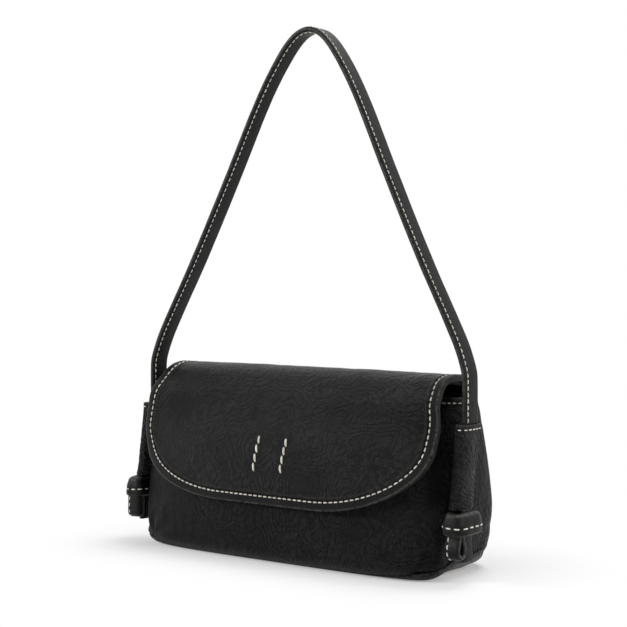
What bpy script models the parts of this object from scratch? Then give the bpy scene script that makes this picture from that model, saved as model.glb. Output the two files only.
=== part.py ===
"""Small leather shoulder bag: soft boxed body, front flap with a magnetic snap, and a belt strap
that runs down through a sleeve at each end and is knotted below it.

Metres, +Z up. The bag stands on its base at Z = 0, its front faces -Y and its ends face +X and -X.
"""

import bisect
import math

import bmesh
import bpy
from mathutils import Matrix, Vector

# Body: the outer face of the leather
BODY_WIDTH = 0.271
BODY_HEIGHT = 0.118
FRONT_REACH = 0.050
BACK_REACH = 0.050
SEAM_REACH = 0.016
BASE_ROUND = 0.009
END_SEAM_HEIGHT = 0.0075
FRONT_SEAM_HEIGHT = 0.0008
LEATHER = 0.0018
FIT = 0.0003

# Inside the body
LINING_GAP = 0.0017
LINING = 0.0008
LINING_ROUND = 0.006
FACING_HEIGHT = 0.020
FACING = 0.0011
BOARD = 0.0016
BOARD_INSET = 0.011
POCKET_WIDTH = 0.140
POCKET_HEIGHT = 0.054
POCKET_DROP = 0.030
POCKET = 0.0010

# Flap
FLAP_RISE = 0.0148
FLAP_DROP = 0.0773
FLAP_LEATHER = 0.0014
FLAP_LINING = 0.0008
FLAP_EDGE = 0.0042
FLAP_EDGE_BAND = 0.0066
FLAP_BEAD = 0.0005
FLAP_SIDE = 0.00575
FLAP_TOP_SIDE = 0.010
FLAP_HEM_SIDE = 0.0225
FLAP_CORNER = 0.049
FLAP_CORNER_ACROSS = 0.090
FLAP_HEM_DROP = 0.024
FLAP_FLARE = 0.044
FLAP_EDGE_GAP = 0.0009
FLAP_CREST_Y = -0.003
FOLD_GAP = 0.0004
FOLD_LIFT = 0.0005

# Magnetic snap
SNAP_DROP = 0.043
SNAP_RADIUS = 0.009
SNAP_ROOM = 0.0053
SOCKET_HEIGHT = 0.0020
SOCKET_WELL = 0.0014
NUB_RADIUS = 0.0040
NUB_HEIGHT = 0.0006
NUB_ROOM = 0.0005
STUD_HEIGHT = 0.0011
STEM_RADIUS = 0.0020
WASHER = 0.0007
WASHER_RADIUS = 0.0080
WASHER_SEAT = 0.0006
TAB_WIDTH = 0.034
TAB_HEIGHT = 0.036
TAB = 0.0009
TAB_SEAT = 0.00055

# Strap, sleeves and knots
STRAP_WIDTH = 0.016
STRAP = 0.004
STRAP_TOP = 0.376
STRAP_LEAN = 0.0115
SLEEVE_TOP_WIDTH = 0.0235
SLEEVE_WIDTH = 0.0205
SLEEVE_FORWARD = 0.0022
SLEEVE_WALL = 0.0016
SLEEVE_ROOM = 0.0006
SLEEVE_STAND = 0.0014
LAP_RISE = 0.012
SLEEVE_DROP = 0.016
SLEEVE_BOTTOM = 0.0478
SLEEVE_TOP_Y = -0.0102
SLEEVE_BOTTOM_Y = -0.0215
KNOT_WIDTH_RIGHT = 0.029
KNOT_WIDTH_LEFT = 0.0258
KNOT_DEPTH = 0.0155
KNOT_HEIGHT = 0.0150
KNOT_DROP = 0.0006
KNOT_STEP_OUT = 0.0035
KNOT_Y_RIGHT = -0.025
KNOT_Y_LEFT = -0.0235
PINCH_WIDTH = 0.012
PINCH_Y = -0.0214
LOOP_WIDTH = 0.011
LOOP_SPAN_RIGHT = 0.0115
LOOP_SPAN_LEFT = 0.0086
LOOP_DROP = 0.0157
TAIL_WIDTH = 0.0125
TAIL_Y = -0.0205
TAIL_BOTTOM = 0.0140

# Widths that follow the body's, less what the flap leaves free at each side
FLAP_WIDTH = BODY_WIDTH - 2 * FLAP_SIDE
FLAP_TOP_WIDTH = BODY_WIDTH - 2 * FLAP_TOP_SIDE
FLAP_HEM_WIDTH = BODY_WIDTH - 2 * FLAP_HEM_SIDE

# Heights that follow the rim
POCKET_TOP = BODY_HEIGHT - POCKET_DROP
POCKET_BOTTOM = POCKET_TOP - POCKET_HEIGHT
FLAP_TOP = BODY_HEIGHT + FLAP_RISE
FLAP_BOTTOM = BODY_HEIGHT - FLAP_DROP
FLAP_HEM_BOTTOM = BODY_HEIGHT - FLAP_HEM_DROP
SNAP_HEIGHT = BODY_HEIGHT - SNAP_DROP
SLEEVE_TOP = BODY_HEIGHT - SLEEVE_DROP

# Shares of the body's sizes at each height share, from the floor to the rim
HEIGHT_shares = (0.0, 0.17, 0.36, 0.53, 0.74, 0.88, 1.0)
WIDTH_shares = (0.950, 0.978, 1.0, 1.0, 0.991, 0.976, 0.950)
FRONT_shares = (0.97, 1.0, 0.97, 0.89, 0.71, 0.51, 0.24)
BACK_shares = (0.975, 0.99, 0.945, 0.845, 0.665, 0.58, 0.53)
SEAM_shares = (-1.0, -0.95, -0.87, -0.70, -0.36, -0.12, 0.12)
FRONT_POWER_shares = (4.6, 3.6, 3.0, 2.8, 2.8, 2.9, 3.0)
BACK_POWER_share = 6.0

# Where the strap's middle line runs, from its foot to the top: share of spread, share of rise
ARCH_shares = (
    (1.0, 0.0),
    (0.994, 0.027),
    (0.956, 0.086),
    (0.903, 0.146),
    (0.730, 0.326),
    (0.517, 0.565),
    (0.310, 0.805),
    (0.180, 0.924),
    (0.085, 0.983),
    (0.0, 1.0),
)

SLEEVE_shares = (0.0, 0.12, 0.3, 0.55, 0.8, 1.0)
COLUMN_shares = (1.0, 0.86, 0.66, 0.44, 0.22)

HALF_RING = 24
WALL_STEPS = 7
STRAP_STEPS = 72
ROUND_STEPS = 6


def clear_scene():
    for old in list(bpy.data.objects):
        bpy.data.objects.remove(old, do_unlink=True)


def collection(name):
    made = bpy.data.collections.new(name)
    bpy.context.scene.collection.children.link(made)
    return made


def material(name, colour, roughness, metallic=0.0):
    made = bpy.data.materials.new(name)
    made.use_nodes = True
    shader = made.node_tree.nodes["Principled BSDF"]
    shader.inputs["Base Color"].default_value = (*colour, 1.0)
    shader.inputs["Roughness"].default_value = roughness
    shader.inputs["Metallic"].default_value = metallic
    return made


def smooth_between(stations, values, at):
    """Smooth curve through the values at uneven stations; values are numbers or vectors."""
    last = len(stations) - 1
    at = min(max(at, stations[0]), stations[last])
    i = 0
    while i < last - 1 and at > stations[i + 1]:
        i += 1
    span = stations[i + 1] - stations[i]
    t = (at - stations[i]) / span
    start, end = values[i], values[i + 1]
    rise_in = rise_out = end - start
    if i > 0:
        rise_in = (end - values[i - 1]) * (span / (stations[i + 1] - stations[i - 1]))
    if i + 2 <= last:
        rise_out = (values[i + 2] - start) * (span / (stations[i + 2] - stations[i]))
    t2, t3 = t * t, t * t * t
    return (
        start * (2 * t3 - 3 * t2 + 1)
        + rise_in * (t3 - 2 * t2 + t)
        + end * (3 * t2 - 2 * t3)
        + rise_out * (t3 - t2)
    )


def body_share(shares, height):
    return smooth_between(HEIGHT_shares, shares, height / BODY_HEIGHT)


def half_width(height):
    return BODY_WIDTH / 2 * body_share(WIDTH_shares, height)


def seam_y(height):
    return SEAM_REACH * body_share(SEAM_shares, height)


def front_y(height):
    return -FRONT_REACH * body_share(FRONT_shares, height)


def back_y(height):
    return BACK_REACH * body_share(BACK_shares, height)


def front_power(height):
    return body_share(FRONT_POWER_shares, height)


def wall_point(angle, height, inset, z=None):
    """A point of the body's wall. Angle 0 is the right seam, a quarter turn below it the front."""
    across, along = math.cos(angle), math.sin(angle)
    middle = seam_y(height)
    if along < 0:
        reach = middle - front_y(height) - inset
        power = front_power(height)
    else:
        reach = back_y(height) - middle - inset
        power = BACK_POWER_share
    x = (half_width(height) - inset) * math.copysign(abs(across) ** (2 / power), across)
    y = middle + reach * math.copysign(abs(along) ** (2 / power), along)
    return Vector((x, y, height if z is None else z))


def front_at(x, height, widen):
    """Y of the body's front face at a distance x from the middle."""
    share = min(abs(x) / (half_width(height) + widen), 1.0)
    power = front_power(height)
    bow = (1 - share**power) ** (1 / power)
    return seam_y(height) - (seam_y(height) - front_y(height)) * bow


def back_at(x, height):
    share = min(abs(x) / half_width(height), 1.0)
    bow = (1 - share**BACK_POWER_share) ** (1 / BACK_POWER_share)
    return seam_y(height) + (back_y(height) - seam_y(height)) * bow


def arc_point(angle, turn, depth):
    """On the round between floor and wall: turn 0 faces down, a quarter turn faces out."""
    radius = BASE_ROUND - depth
    inset = BASE_ROUND - radius * math.sin(turn)
    rise = BASE_ROUND - radius * math.cos(turn)
    return wall_point(angle, BASE_ROUND, inset, z=rise)


def seam_turn(angle):
    """How far up the round the base seam lies: nearly under the front, high at the ends."""
    end_weight = abs(math.cos(angle)) ** 3
    height = FRONT_SEAM_HEIGHT + (END_SEAM_HEIGHT - FRONT_SEAM_HEIGHT) * end_weight
    return math.acos(1 - min(height / BASE_ROUND, 1.0))


def add_object(name, mesh, parts, finish):
    made = bpy.data.objects.new(name, mesh)
    mesh.materials.append(finish)
    parts.objects.link(made)
    mesh.shade_smooth()
    mesh.set_sharp_from_angle(angle=math.radians(40))
    return made


def close_mesh(name, shape, parts, finish):
    bmesh.ops.recalc_face_normals(shape, faces=shape.faces)
    mesh = bpy.data.meshes.new(name)
    shape.to_mesh(mesh)
    shape.free()
    return add_object(name, mesh, parts, finish)


def loft(name, rings, parts, finish, closed_path=False):
    """Skins closed rings of equal length, and caps the two end rings unless the path closes."""
    shape = bmesh.new()
    made = [[shape.verts.new(point) for point in ring] for ring in rings]
    pairs = list(zip(made, made[1:]))
    if closed_path:
        pairs.append((made[-1], made[0]))
    count = len(made[0])
    for low, high in pairs:
        for i in range(count):
            j = (i + 1) % count
            shape.faces.new((low[i], low[j], high[j], high[i]))
    if not closed_path:
        shape.faces.new(made[0])
        shape.faces.new(made[-1])
    return close_mesh(name, shape, parts, finish)


def sheet(name, outer, inner, parts, finish):
    """A closed skin between two grids of points, row by row."""
    rings = [list(front) + list(reversed(back)) for front, back in zip(outer, inner)]
    shape = bmesh.new()
    made = [[shape.verts.new(point) for point in ring] for ring in rings]
    count = len(made[0])
    half = count // 2
    for low, high in zip(made, made[1:]):
        for i in range(count):
            j = (i + 1) % count
            shape.faces.new((low[i], low[j], high[j], high[i]))
    for ring in (made[0], made[-1]):
        for i in range(half - 1):
            shape.faces.new((ring[i], ring[i + 1], ring[count - 2 - i], ring[count - 1 - i]))
    return close_mesh(name, shape, parts, finish)


def half_angles(front):
    start = -math.pi if front else 0.0
    return [start + math.pi * i / HALF_RING for i in range(HALF_RING + 1)]


def wall_heights(low, high):
    """Both ends, and the heights between them at which every layer has a ring."""
    top = BODY_HEIGHT - FACING_HEIGHT
    shared = [BASE_ROUND + (top - BASE_ROUND) * i / WALL_STEPS for i in range(WALL_STEPS)]
    shared += [top, top + FACING_HEIGHT / 3, top + FACING_HEIGHT * 2 / 3]
    return [low] + [h for h in shared if low + BOARD < h < high - BOARD] + [high]


def panel(name, front, parts, finish):
    """A body panel: from the base seam round the lower edge and up to the rim."""
    push = Vector((0, -FIT / 2 if front else FIT / 2, 0))
    angles = half_angles(front)
    rows = []
    for depth in (0.0, LEATHER):
        grid = []
        for share in (0.0, 0.35, 0.7, 1.0):
            row = []
            for angle in angles:
                start = seam_turn(angle) + FIT / BASE_ROUND
                turn = start + (math.pi / 2 - start) * share
                row.append(arc_point(angle, turn, depth) + push)
            grid.append(row)
        for height in wall_heights(BASE_ROUND, BODY_HEIGHT)[1:]:
            grid.append([wall_point(angle, height, depth) + push for angle in angles])
        rows.append(grid)
    return sheet(name, rows[0], rows[1], parts, finish)


def ring_angles():
    return [-math.pi + math.pi * i / HALF_RING for i in range(2 * HALF_RING)]


def base_panel(parts, finish):
    angles = ring_angles()
    rings = []
    for depth in (0.0, LEATHER):
        part_rings = [[arc_point(a, 0.0, depth) for a in angles]]
        for share in (0.5, 1.0):
            part_rings.append([arc_point(a, seam_turn(a) * share, depth) for a in angles])
        rings.append(part_rings)
    whole = rings[0] + list(reversed(rings[1]))
    return loft("base_panel", whole, parts, finish)


def base_board(parts, finish):
    low = LEATHER + FIT
    rings = []
    for z in (low, low + BOARD):
        rings.append([wall_point(a, BASE_ROUND, BOARD_INSET, z=z) for a in ring_angles()])
    return loft("base_board", rings, parts, finish)


def lining_floor():
    return LEATHER + FIT + BOARD + FIT


def lining_top():
    return BODY_HEIGHT - FACING_HEIGHT - FIT


def lining_rings(depth):
    """Rings of the lining at a depth inside its outer face, from the floor to the top."""
    skin = LEATHER + LINING_GAP
    radius = LINING_ROUND - depth
    angles = ring_angles()
    rings = []
    for step in (0.0, 0.34, 0.67, 1.0):
        turn = math.pi / 2 * step
        inset = skin + LINING_ROUND - radius * math.sin(turn)
        rise = lining_floor() + LINING_ROUND - radius * math.cos(turn)
        rings.append([wall_point(a, BASE_ROUND + rise, inset, z=rise) for a in angles])
    low = lining_floor() + LINING_ROUND + BASE_ROUND
    for height in wall_heights(low, lining_top()):
        rings.append([wall_point(a, height, skin + depth) for a in angles])
    return rings


def lining(parts, finish):
    whole = lining_rings(0.0) + list(reversed(lining_rings(LINING)))
    return loft("lining", whole, parts, finish)


def mouth_facing(parts, finish):
    skin = LEATHER + FIT
    heights = wall_heights(BODY_HEIGHT - FACING_HEIGHT, BODY_HEIGHT)
    rings = []
    for depth, run in ((skin, heights), (skin + FACING, list(reversed(heights)))):
        for height in run:
            rings.append([wall_point(a, height, depth) for a in ring_angles()])
    return loft("mouth_facing", rings, parts, finish, closed_path=True)


def slip_pocket(parts, finish):
    skin = LEATHER + LINING_GAP + LINING + FIT
    steps = [i / 8 - 0.5 for i in range(9)]
    grids = []
    for depth in (skin, skin + POCKET):
        grid = []
        for height in wall_heights(POCKET_BOTTOM, POCKET_TOP):
            row = []
            for step in steps:
                x = POCKET_WIDTH * step
                row.append(Vector((x, back_at(x, height) - depth, height)))
            grid.append(row)
        grids.append(grid)
    return sheet("slip_pocket", grids[0], grids[1], parts, finish)


def snap_bump(x, z):
    """1 over the snap, falling to 0 at the flap's edges."""
    across = max(0.0, 1 - (2 * x / FLAP_WIDTH) ** 2)
    if z > SNAP_HEIGHT:
        far = BODY_HEIGHT - SNAP_HEIGHT
    else:
        far = SNAP_HEIGHT - FLAP_BOTTOM
    away = min(abs(z - SNAP_HEIGHT) / far, 1.0)
    return across * (1 - away**4) ** 2


def flap_front_y(x, z):
    """Y of the flap's outer face on the front."""
    room = FLAP_EDGE_GAP + (SNAP_ROOM - FLAP_EDGE_GAP) * snap_bump(x, z)
    return front_at(x, z, FLAP_FLARE) - room - FLAP_EDGE


def flap_profile():
    """The flap's outer line at the middle, from the hem at the back to the front edge.

    Each entry is y, z and how far the line follows the body's bowed front or back.
    """
    rear = LEATHER + FIT
    line = []
    for height in (FLAP_HEM_BOTTOM, (FLAP_HEM_BOTTOM + BODY_HEIGHT) / 2):
        line.append((back_y(height) + rear, height, -1.0))
    rim_y = back_y(BODY_HEIGHT) + rear
    rise = FLAP_TOP - BODY_HEIGHT
    line.append((rim_y, BODY_HEIGHT + rise * 0.06, -0.8))
    line.append((rim_y - rise * 0.22, BODY_HEIGHT + rise * 0.56, -0.3))
    line.append((rim_y - rise * 0.95, BODY_HEIGHT + rise * 0.87, 0.0))
    line.append((FLAP_CREST_Y, FLAP_TOP, 0.0))
    shoulder = flap_front_y(0.0, BODY_HEIGHT * 0.93)
    line.append((shoulder + rise * 0.75, FLAP_TOP - rise * 0.28, 0.15))
    line.append((shoulder + rise * 0.10, BODY_HEIGHT - rise * 0.05, 0.5))
    for share in (0.82, 0.60, 0.36, 0.15, 0.0):
        height = FLAP_BOTTOM + (BODY_HEIGHT - FLAP_BOTTOM) * share
        line.append((flap_front_y(0.0, height), height, 1.0))
    return [Vector(entry) for entry in line]


HINGE_ENTRY = 3
CREST_ENTRY = 5
BEND_ENTRY = 6
TRACE_STEPS = 16


def trace_flap():
    """The flap's outer line as many points, the run of each along it, and the entries' runs."""
    line = flap_profile()
    spans = [0.0]
    for here, ahead in zip(line, line[1:]):
        spans.append(spans[-1] + (ahead - here).to_2d().length)
    path, runs, marks = [line[0]], [0.0], [0.0]
    for low, high in zip(spans, spans[1:]):
        for step in range(1, TRACE_STEPS + 1):
            point = smooth_between(spans, line, low + (high - low) * step / TRACE_STEPS)
            runs.append(runs[-1] + (point - path[-1]).to_2d().length)
            path.append(point)
        marks.append(runs[-1])
    return path, runs, marks


FLAP_PATH, FLAP_RUNS, FLAP_MARKS = trace_flap()
HINGE_RUN = FLAP_MARKS[HINGE_ENTRY]
CREST_RUN = FLAP_MARKS[CREST_ENTRY]
BEND_RUN = FLAP_MARKS[BEND_ENTRY]
END_RUN = FLAP_MARKS[-1]
BAND_RUN = END_RUN - FLAP_EDGE_BAND


def on_path(run):
    run = min(max(run, 0.0), END_RUN)
    i = min(max(bisect.bisect_right(FLAP_RUNS, run) - 1, 0), len(FLAP_PATH) - 2)
    share = (run - FLAP_RUNS[i]) / (FLAP_RUNS[i + 1] - FLAP_RUNS[i])
    return FLAP_PATH[i].lerp(FLAP_PATH[i + 1], share)


def flap_station(run):
    """Outer point at a run along the flap's line, and the direction into the flap there."""
    here = on_path(run)
    step = FLAP_LEATHER
    along = (on_path(run + step) - on_path(run - step)).to_2d().normalized()
    return here, Vector((-along.y, along.x))


def flap_half_width(run):
    """Half the flap's width along its line, drawn in round the two front corners."""
    if run <= CREST_RUN:
        share = run / CREST_RUN
        share = share * share * (3 - 2 * share)
        return (FLAP_HEM_WIDTH + (FLAP_TOP_WIDTH - FLAP_HEM_WIDTH) * share) / 2
    widened = min((run - CREST_RUN) / (END_RUN - CREST_RUN) * 2, 1.0)
    widest = (FLAP_TOP_WIDTH + (FLAP_WIDTH - FLAP_TOP_WIDTH) * widened) / 2
    short = max(FLAP_CORNER - (END_RUN - run), 0.0) / FLAP_CORNER
    return widest - FLAP_CORNER_ACROSS * (1 - math.sqrt(max(1 - short**2, 0.0)))


def flap_point(x, at, depth):
    here, inward = flap_station(at)
    y = here.x + inward.x * depth
    z = here.y + inward.y * depth
    follow = here.z
    level = min(here.y, BODY_HEIGHT)
    if follow > 0:
        y += follow * (front_at(x, level, FLAP_FLARE) - front_y(level))
        y += follow * (SNAP_ROOM - FLAP_EDGE_GAP) * (snap_bump(0.0, here.y) - snap_bump(x, here.y))
    else:
        y += -follow * (back_at(x, level) - back_y(level))
    return Vector((x, y, z))


def flap_columns(half, edge_only=False):
    """Distances from the middle, close together over the edge band."""
    band = [half, half - FLAP_EDGE_BAND * 0.25, half - FLAP_EDGE_BAND * 0.75]
    if not edge_only:
        band += [half - FLAP_EDGE_BAND, half - FLAP_EDGE_BAND - FIT]
    inner = half - FLAP_EDGE_BAND * 1.4
    right = band + [inner * share for share in COLUMN_shares]
    return [-x for x in right] + [0.0] + list(reversed(right))


def flap_rows(start, end, count):
    return [start + (end - start) * i / count for i in range(count + 1)]


def front_places():
    """Runs along the front of the flap, closer together round the corners."""
    bend = END_RUN - FLAP_CORNER
    places = flap_rows(BEND_RUN + FOLD_GAP / 2, bend, 8)
    places += [bend + FLAP_CORNER * share for share in (0.2, 0.4, 0.58, 0.73, 0.85)]
    places.append(BAND_RUN - FIT)
    for share in (0.0, 0.25, 0.6, 0.85, 1.0):
        places.append(BAND_RUN + FLAP_EDGE_BAND * share)
    return sorted(places)


def flap_leather(name, places, edge_end, parts, finish):
    """Top leather of the flap: thin in the field, with a thick rolled edge round the border."""
    outer, inner = [], []
    for at in places:
        half = flap_half_width(at)
        columns = flap_columns(half)
        in_end_band = edge_end and at > BAND_RUN - FIT / 2
        outer_row, inner_row = [], []
        for i, x in enumerate(columns):
            from_edge = min(i, len(columns) - 1 - i)
            side_band = from_edge <= 3
            thick = FLAP_EDGE if side_band or in_end_band else FLAP_LEATHER
            rounding = 0.0
            if from_edge == 0 or (edge_end and at > END_RUN - FIT / 2):
                rounding = FLAP_EDGE * 0.22
            lift = FLAP_BEAD if from_edge in (1, 2) or (in_end_band and rounding == 0.0) else 0.0
            outer_row.append(flap_point(x, at, rounding - lift))
            inner_row.append(flap_point(x, at, thick - rounding))
        outer.append(outer_row)
        inner.append(inner_row)
    return sheet(name, outer, inner, parts, finish)


def flap_lining(name, places, parts, finish):
    """Lining in the recess behind the rolled edge."""
    outer, inner = [], []
    for at in places:
        half = flap_half_width(at) - FLAP_EDGE_BAND - FIT - FIT
        columns = [half * share for share in (-1, -0.8, -0.6, -0.4, -0.2, 0, 0.2, 0.4, 0.6, 0.8, 1)]
        outer.append([flap_point(x, at, FLAP_EDGE - FLAP_LINING) for x in columns])
        inner.append([flap_point(x, at, FLAP_EDGE) for x in columns])
    return sheet(name, outer, inner, parts, finish)


def build_flap(parts, leather, suede):
    hem_places = flap_rows(0.0, HINGE_RUN - FOLD_GAP / 2, 6)
    outer, inner = [], []
    for at in hem_places:
        columns = flap_columns(flap_half_width(at), edge_only=True)
        outer.append([flap_point(x, at, 0.0) for x in columns])
        inner.append([flap_point(x, at, FLAP_LEATHER) for x in columns])
    sheet("flap_hem", outer, inner, parts, leather)
    top_places = flap_rows(HINGE_RUN + FOLD_GAP / 2, BEND_RUN - FOLD_GAP / 2, 9)
    flap_leather("flap_top", top_places, False, parts, leather)
    flap_lining("flap_top_lining", top_places, parts, suede)
    flap_leather("flap_front", front_places(), True, parts, leather)
    lining_end = BAND_RUN - 3 * FIT
    lining_places = [run for run in front_places() if run < lining_end - FLAP_EDGE] + [lining_end]
    flap_lining("flap_front_lining", lining_places, parts, suede)


def fold_axis(at):
    """A fold line's point, just outside the flap's outer face."""
    here, inward = flap_station(at)
    return Vector((0, here.x - inward.x * FOLD_LIFT, here.y - inward.y * FOLD_LIFT))


def snap_frame():
    """Placement of the snap: local +Z leaves the front panel at a right angle."""
    step = BASE_ROUND / 2
    low = Vector((0, front_y(SNAP_HEIGHT - step), SNAP_HEIGHT - step))
    high = Vector((0, front_y(SNAP_HEIGHT + step), SNAP_HEIGHT + step))
    up = (high - low).normalized()
    out = up.cross(Vector((1, 0, 0))).normalized()
    if out.y > 0:
        out = -out
    origin = Vector((0, front_y(SNAP_HEIGHT), SNAP_HEIGHT))
    turn = Matrix((Vector((1, 0, 0)), out.cross(Vector((1, 0, 0))), out)).transposed()
    return Matrix.Translation(origin) @ turn.to_4x4()


def turned(name, profile, parts, finish, frame):
    """A turned piece: (radius, height) pairs down its outer side, spun about local Z."""
    mesh = bpy.data.meshes.new(name)
    points = [(radius, 0, height) for radius, height in profile]
    edges = [(i, i + 1) for i in range(len(points) - 1)]
    mesh.from_pydata(points, edges, [])
    made = bpy.data.objects.new(name, mesh)
    mesh.materials.append(finish)
    parts.objects.link(made)
    spin = made.modifiers.new("Spin", "SCREW")
    spin.steps = 32
    spin.render_steps = 32
    spin.use_merge_vertices = True
    spin.merge_threshold = 0.00005
    spin.use_smooth_shade = True
    made.matrix_world = frame
    return made


def hole(target, radius, frame, cutters):
    """Cuts a round hole along the snap's axis."""
    bpy.ops.mesh.primitive_cylinder_add(vertices=24, radius=radius, depth=4 * SNAP_RADIUS)
    cutter = bpy.context.object
    cutter.name = "cut_" + target.name
    for old in list(cutter.users_collection):
        old.objects.unlink(cutter)
    cutters.objects.link(cutter)
    cutter.matrix_world = frame
    cutter.hide_render = True
    cutter.display_type = "WIRE"
    cut = target.modifiers.new("Stem hole", "BOOLEAN")
    cut.operation = "DIFFERENCE"
    cut.object = cutter
    cut.solver = "EXACT"


def build_snap(parts, metal):
    frame = snap_frame()
    seat = FIT
    top = seat + SOCKET_HEIGHT
    stem_foot = -LEATHER - WASHER_SEAT - WASHER
    socket = [
        (0.0, top - SOCKET_WELL),
        (NUB_RADIUS + NUB_ROOM, top - SOCKET_WELL),
        (NUB_RADIUS + NUB_ROOM, top),
        (SNAP_RADIUS * 0.88, top),
        (SNAP_RADIUS, top - SOCKET_HEIGHT * 0.4),
        (SNAP_RADIUS, seat),
        (STEM_RADIUS, seat),
        (STEM_RADIUS, stem_foot),
        (0.0, stem_foot),
    ]
    turned("snap_socket", socket, parts, metal, frame)
    bore = STEM_RADIUS + FIT
    washer_top = -LEATHER - WASHER_SEAT
    washer = [
        (bore, washer_top),
        (WASHER_RADIUS, washer_top),
        (WASHER_RADIUS, washer_top - WASHER),
        (bore, washer_top - WASHER),
        (bore, washer_top),
    ]
    turned("snap_washer", washer, parts, metal, frame)
    low = top + FIT
    high = low + STUD_HEIGHT
    stem_top = tab_depth()
    stud = [
        (0.0, stem_top),
        (STEM_RADIUS, stem_top),
        (STEM_RADIUS, high),
        (SNAP_RADIUS * 0.9, high),
        (SNAP_RADIUS * 0.9, low),
        (NUB_RADIUS, low),
        (NUB_RADIUS, low - NUB_HEIGHT),
        (0.0, low - NUB_HEIGHT),
    ]
    turned("snap_stud", stud, parts, metal, frame)
    return frame


def snap_run():
    """Run along the flap's line that lies over the snap."""
    frame = snap_frame()
    up = frame.col[1].to_3d()
    if up.z < 0:
        up = -up
    low, high = CREST_RUN, END_RUN
    while high - low > FIT / 10:
        middle = (low + high) / 2
        here = on_path(middle)
        if (Vector((0, here.x, here.y)) - frame.translation).dot(up) > 0:
            low = middle
        else:
            high = middle
    return low


def snap_reach():
    """Distance along the snap's axis from the front panel to the flap's outer face."""
    here = on_path(snap_run())
    frame = snap_frame()
    return (Vector((0, here.x, here.y)) - frame.translation).dot(frame.col[2].to_3d())


def tab_depth():
    """Height of the tab's outer face above the front panel, along the snap's axis."""
    return snap_reach() - FLAP_LEATHER - TAB_SEAT


def snap_tab(parts, finish):
    """Leather tab between the flap's leather and its lining: it carries the stud."""
    centre = snap_run()
    outer, inner = [], []
    for at in flap_rows(centre - TAB_HEIGHT / 2, centre + TAB_HEIGHT / 2, 8):
        columns = [TAB_WIDTH * share for share in (-0.5, -0.35, -0.12, 0.12, 0.35, 0.5)]
        outer.append([flap_point(x, at, FLAP_LEATHER + TAB_SEAT) for x in columns])
        inner.append([flap_point(x, at, FLAP_LEATHER + TAB_SEAT + TAB) for x in columns])
    return sheet("snap_tab", outer, inner, parts, finish)


def rounded_section(width, thickness, steps=ROUND_STEPS // 2):
    """Points round a flat section with soft edges: (across the thickness, along the width)."""
    radius = min(width, thickness) / 2 * 0.86
    points = []
    for sx, sy, start in ((1, 1, 0.0), (-1, 1, 0.5), (-1, -1, 1.0), (1, -1, 1.5)):
        cx = sx * (thickness / 2 - radius)
        cy = sy * (width / 2 - radius)
        for i in range(steps):
            turn = math.pi * (start + 0.5 * i / (steps - 1))
            points.append((cx + radius * math.cos(turn), cy + radius * math.sin(turn)))
    return points


def lap_radius():
    return STRAP_WIDTH / 2


def lap_clear():
    """How far below the swing line the strap's turning corner reaches."""
    return math.hypot(LAP_RISE, lap_radius()) + FIT


def swing_height():
    return SLEEVE_TOP + SLEEVE_STAND + lap_clear()


def swing_y():
    return SLEEVE_TOP_Y


def sleeve_y(z):
    share = (z - SLEEVE_BOTTOM) / (SLEEVE_TOP - SLEEVE_BOTTOM)
    return SLEEVE_BOTTOM_Y + (SLEEVE_TOP_Y - SLEEVE_BOTTOM_Y) * share


def sleeve_width(share):
    """The tunnel is wider at its mouth; share is 0 at the mouth and 1 at its foot."""
    return SLEEVE_TOP_WIDTH + (SLEEVE_WIDTH - SLEEVE_TOP_WIDTH) * share


def sleeve_thickness():
    return STRAP + 2 * (SLEEVE_WALL + SLEEVE_ROOM)


def sleeve_x():
    """Middle of the sleeve, seated on the fullest part of the end."""
    return BODY_WIDTH / 2 + FIT + sleeve_thickness() / 2


def arch_points():
    """The strap's middle line from one foot over the top to the other, and its chord stations."""
    base = swing_height() + LAP_RISE
    rise = STRAP_TOP - STRAP / 2 - base
    leg = []
    for out, up in ARCH_shares:
        leg.append(Vector((sleeve_x() * out, swing_y() + STRAP_LEAN * up, base + rise * up)))
    points = leg + [Vector((-p.x, p.y, p.z)) for p in leg[-2::-1]]
    stations = [0.0]
    for here, ahead in zip(points, points[1:]):
        stations.append(stations[-1] + (ahead - here).length)
    return stations, points


def box_ring(side, x, y, z, width, thickness):
    """A level section of belt or sleeve about (x, y, z)."""
    ring = []
    for across, along in rounded_section(width, thickness):
        ring.append(Vector((side * (x + across), y + along, z)))
    return ring


def strap_arch(parts, finish):
    """The strap above the swing line, as a rounded belt."""
    stations, points = arch_points()
    whole = stations[-1]
    rings = []
    for i in range(STRAP_STEPS + 1):
        run = whole * i / STRAP_STEPS
        ahead = smooth_between(stations, points, run + STRAP)
        behind = smooth_between(stations, points, run - STRAP)
        course = (ahead - behind).normalized()
        if i in (0, STRAP_STEPS):
            course = Vector((0, 0, 1 if i == 0 else -1))
        out = Vector((course.z, 0, -course.x)).normalized()
        here = smooth_between(stations, points, run)
        ring = []
        for across, along in rounded_section(STRAP_WIDTH, STRAP):
            ring.append(here + out * across + Vector((0, along, 0)))
        rings.append(ring)
    return loft("strap", rings, parts, finish)


def tab_profile(steps, rise):
    """Outline of a round-ended tab in (along Y, up): half circle below, straight above."""
    radius = lap_radius()
    points = [(radius, rise)]
    for i in range(steps + 1):
        turn = -math.pi * i / steps
        points.append((radius * math.cos(turn), radius * math.sin(turn)))
    points.append((-radius, rise))
    return points


def lap_tab(name, side, up, parts, finish, reach):
    """Half-thick tab about the swing line. Up is 1 on the arch and -1 on the strap's end."""
    middle = sleeve_x()
    low, high = (FIT / 2, STRAP / 2) if up > 0 else (-STRAP / 2, -FIT / 2)
    rings = []
    for dx in (low, high):
        ring = []
        for y, z in tab_profile(2 * ROUND_STEPS, reach):
            ring.append(Vector((side * (middle + dx), swing_y() + y, swing_height() + up * z)))
        rings.append(ring)
    return loft(name, rings, parts, finish)


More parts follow.
